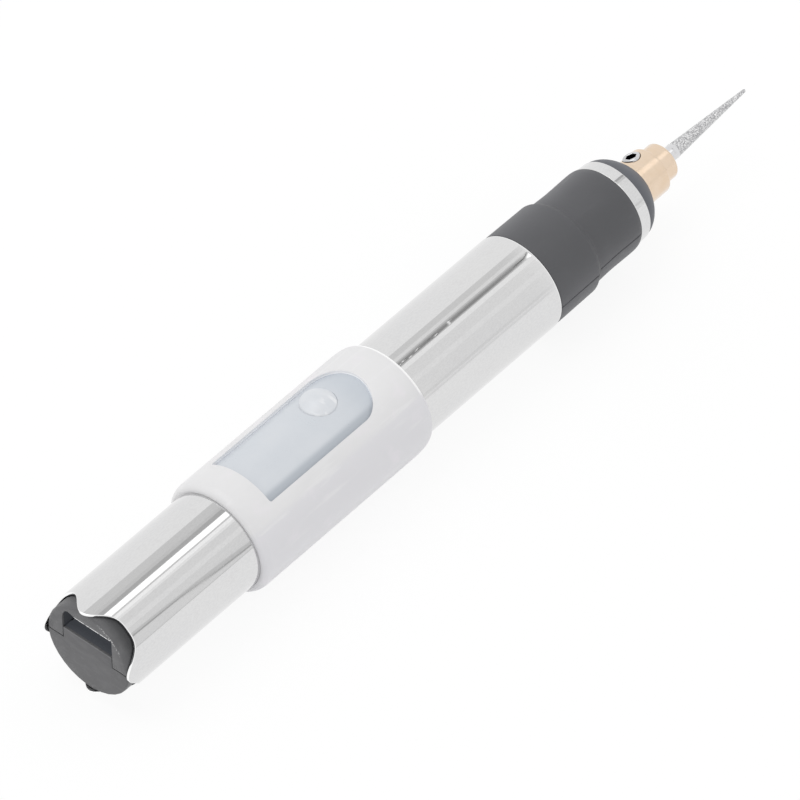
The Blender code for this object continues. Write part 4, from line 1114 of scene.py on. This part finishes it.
def strip(name, shade, line, radius=tubeRadius, away=studio["stripAway"]):
    # a strip of even shade through (station, first angle, second angle), seen only in the metal
    shape = bmesh.new()
    widest = max(abs(second - first) for _, first, second in line)
    steps = max(1, math.ceil(widest / studio["stripStep"]))
    rows = []
    for station, first, second in line:
        angles = [first + (second - first) * index / steps for index in range(steps + 1)]
        rows.append([shape.verts.new(mirrored(station * mm, angle, radius, away)) for angle in angles])
    for row, after in zip(rows, rows[1:]):
        for index in range(steps):
            shape.faces.new((row[index], row[index + 1], after[index + 1], after[index]))
    mesh = meshFrom(name, shape)
    mesh.materials.append(glowing(name, shade))
    item = linked(name, mesh)
    item.visible_camera = item.visible_diffuse = item.visible_shadow = item.visible_volume_scatter = False
    item.visible_transmission = False


def stripSet(name, start, end, bands, **settings):
    # neighbouring strips from (first angle, shade) pairs; the last pair only ends the one before
    for index, ((first, shade), (second, _)) in enumerate(zip(bands, bands[1:])):
        if shade:
            strip(f"{name}{index + 1}", shade, [(start, first, second), (end, first, second)], **settings)


whiteWorld()
floorPlane()
softLamp()
stripSet("rearStrip", -6, 46, [
    (-33, 0.75), (-24.5, 0.7), (-21, 0.53), (-16.6, 1.5), (-10.8, 0.74), (-9.2, 1.16), (-5.8, 1.02),
    (-3.4, 0.88), (4.3, 0.94), (9.3, 0.86), (29, 0.74), (31, None),
])
rearCurve = [
    (-4, 14, 16.3, 17.7), (7.4, 15.2, 17.5, 18.9), (15.4, 16.8, 18.7, 20.1), (23.4, 18.5, 22.6, 24.2),
    (31.4, 21.4, 25, 26.6), (46, 25, 27.5, 29),
]
strip("rearCurve", 0.46, [(place, first, last) for place, _, first, last in rearCurve], away=studio["curveAway"])
strip("rearCurveSoft", 0.68, [(place, soft, first) for place, soft, first, _ in rearCurve], away=studio["curveAway"])
stripSet("frontStrip", 60, 113.2, [
    (-30, 0.77), (-23.2, 0.9), (-19.6, 0.66), (-18.2, 0.46), (-16.7, 0.33), (-13.9, 0.6), (-12.7, 1.03),
    (-7.8, 0.9), (3.4, 0.95), (8.6, 0.9), (23.4, 0.84), (26.2, 0.93), (28, 0.88), (30.2, None),
])
strip("frontHook", 0.2, [
    (110, -16.4, -15.5), (112.5, -16.6, -15.2), (113.3, -17.6, -16.2), (113.9, -20, -18.6),
], away=studio["hookAway"])

# small dark and bright specks in the front tube's dark line
specks = {"seed": 4, "count": 14, "stations": (77.6, 89), "angles": (-16.8, -13.4), "lengths": (0.15, 0.9),
          "widths": (0.25, 0.55), "shades": (0.1, 1.5)}
scatter = random.Random(specks["seed"])
for index in range(specks["count"]):
    station, angle = scatter.uniform(*specks["stations"]), scatter.uniform(*specks["angles"])
    length, width = scatter.uniform(*specks["lengths"]), scatter.uniform(*specks["widths"])
    strip(f"frontSpeck{index + 1}", specks["shades"][index % 2], [
        (station, angle, angle + width), (station + length, angle, angle + width),
    ], away=studio["speckAway"])
strip("frontFleck", 1.7, [(91.9, -17.2, -13.6), (92.2, -17.2, -13.6)], away=studio["speckAway"])
strip("frontGlint", 1.6, [
    (112.9, -14.6, -13.8), (113.5, -16.4, -12.8), (114.5, -17.6, -12.2),
], away=studio["hookAway"])
stripSet("ringStrip", 168, 250, [
    (-40, 0.98), (-21.5, 0.97), (-19.4, 0.48), (-16.4, 0.74), (-13.4, 0.92), (-5, 0.93), (17, 0.9),
    (20, 0.8), (22.5, 0.92), (27, 1.03), (33, None),
], radius=0.86 * tubeRadius)
stripSet("chuckStrip", 124, 166, [
    (-26, 1.04), (-19.5, 1.15), (-16.5, 1.5), (-4.5, 1.15), (-3, 1.02), (20, None),
], radius=0.45 * tubeRadius)
bpy.context.scene.view_settings.view_transform = "Standard"
print("studio done")
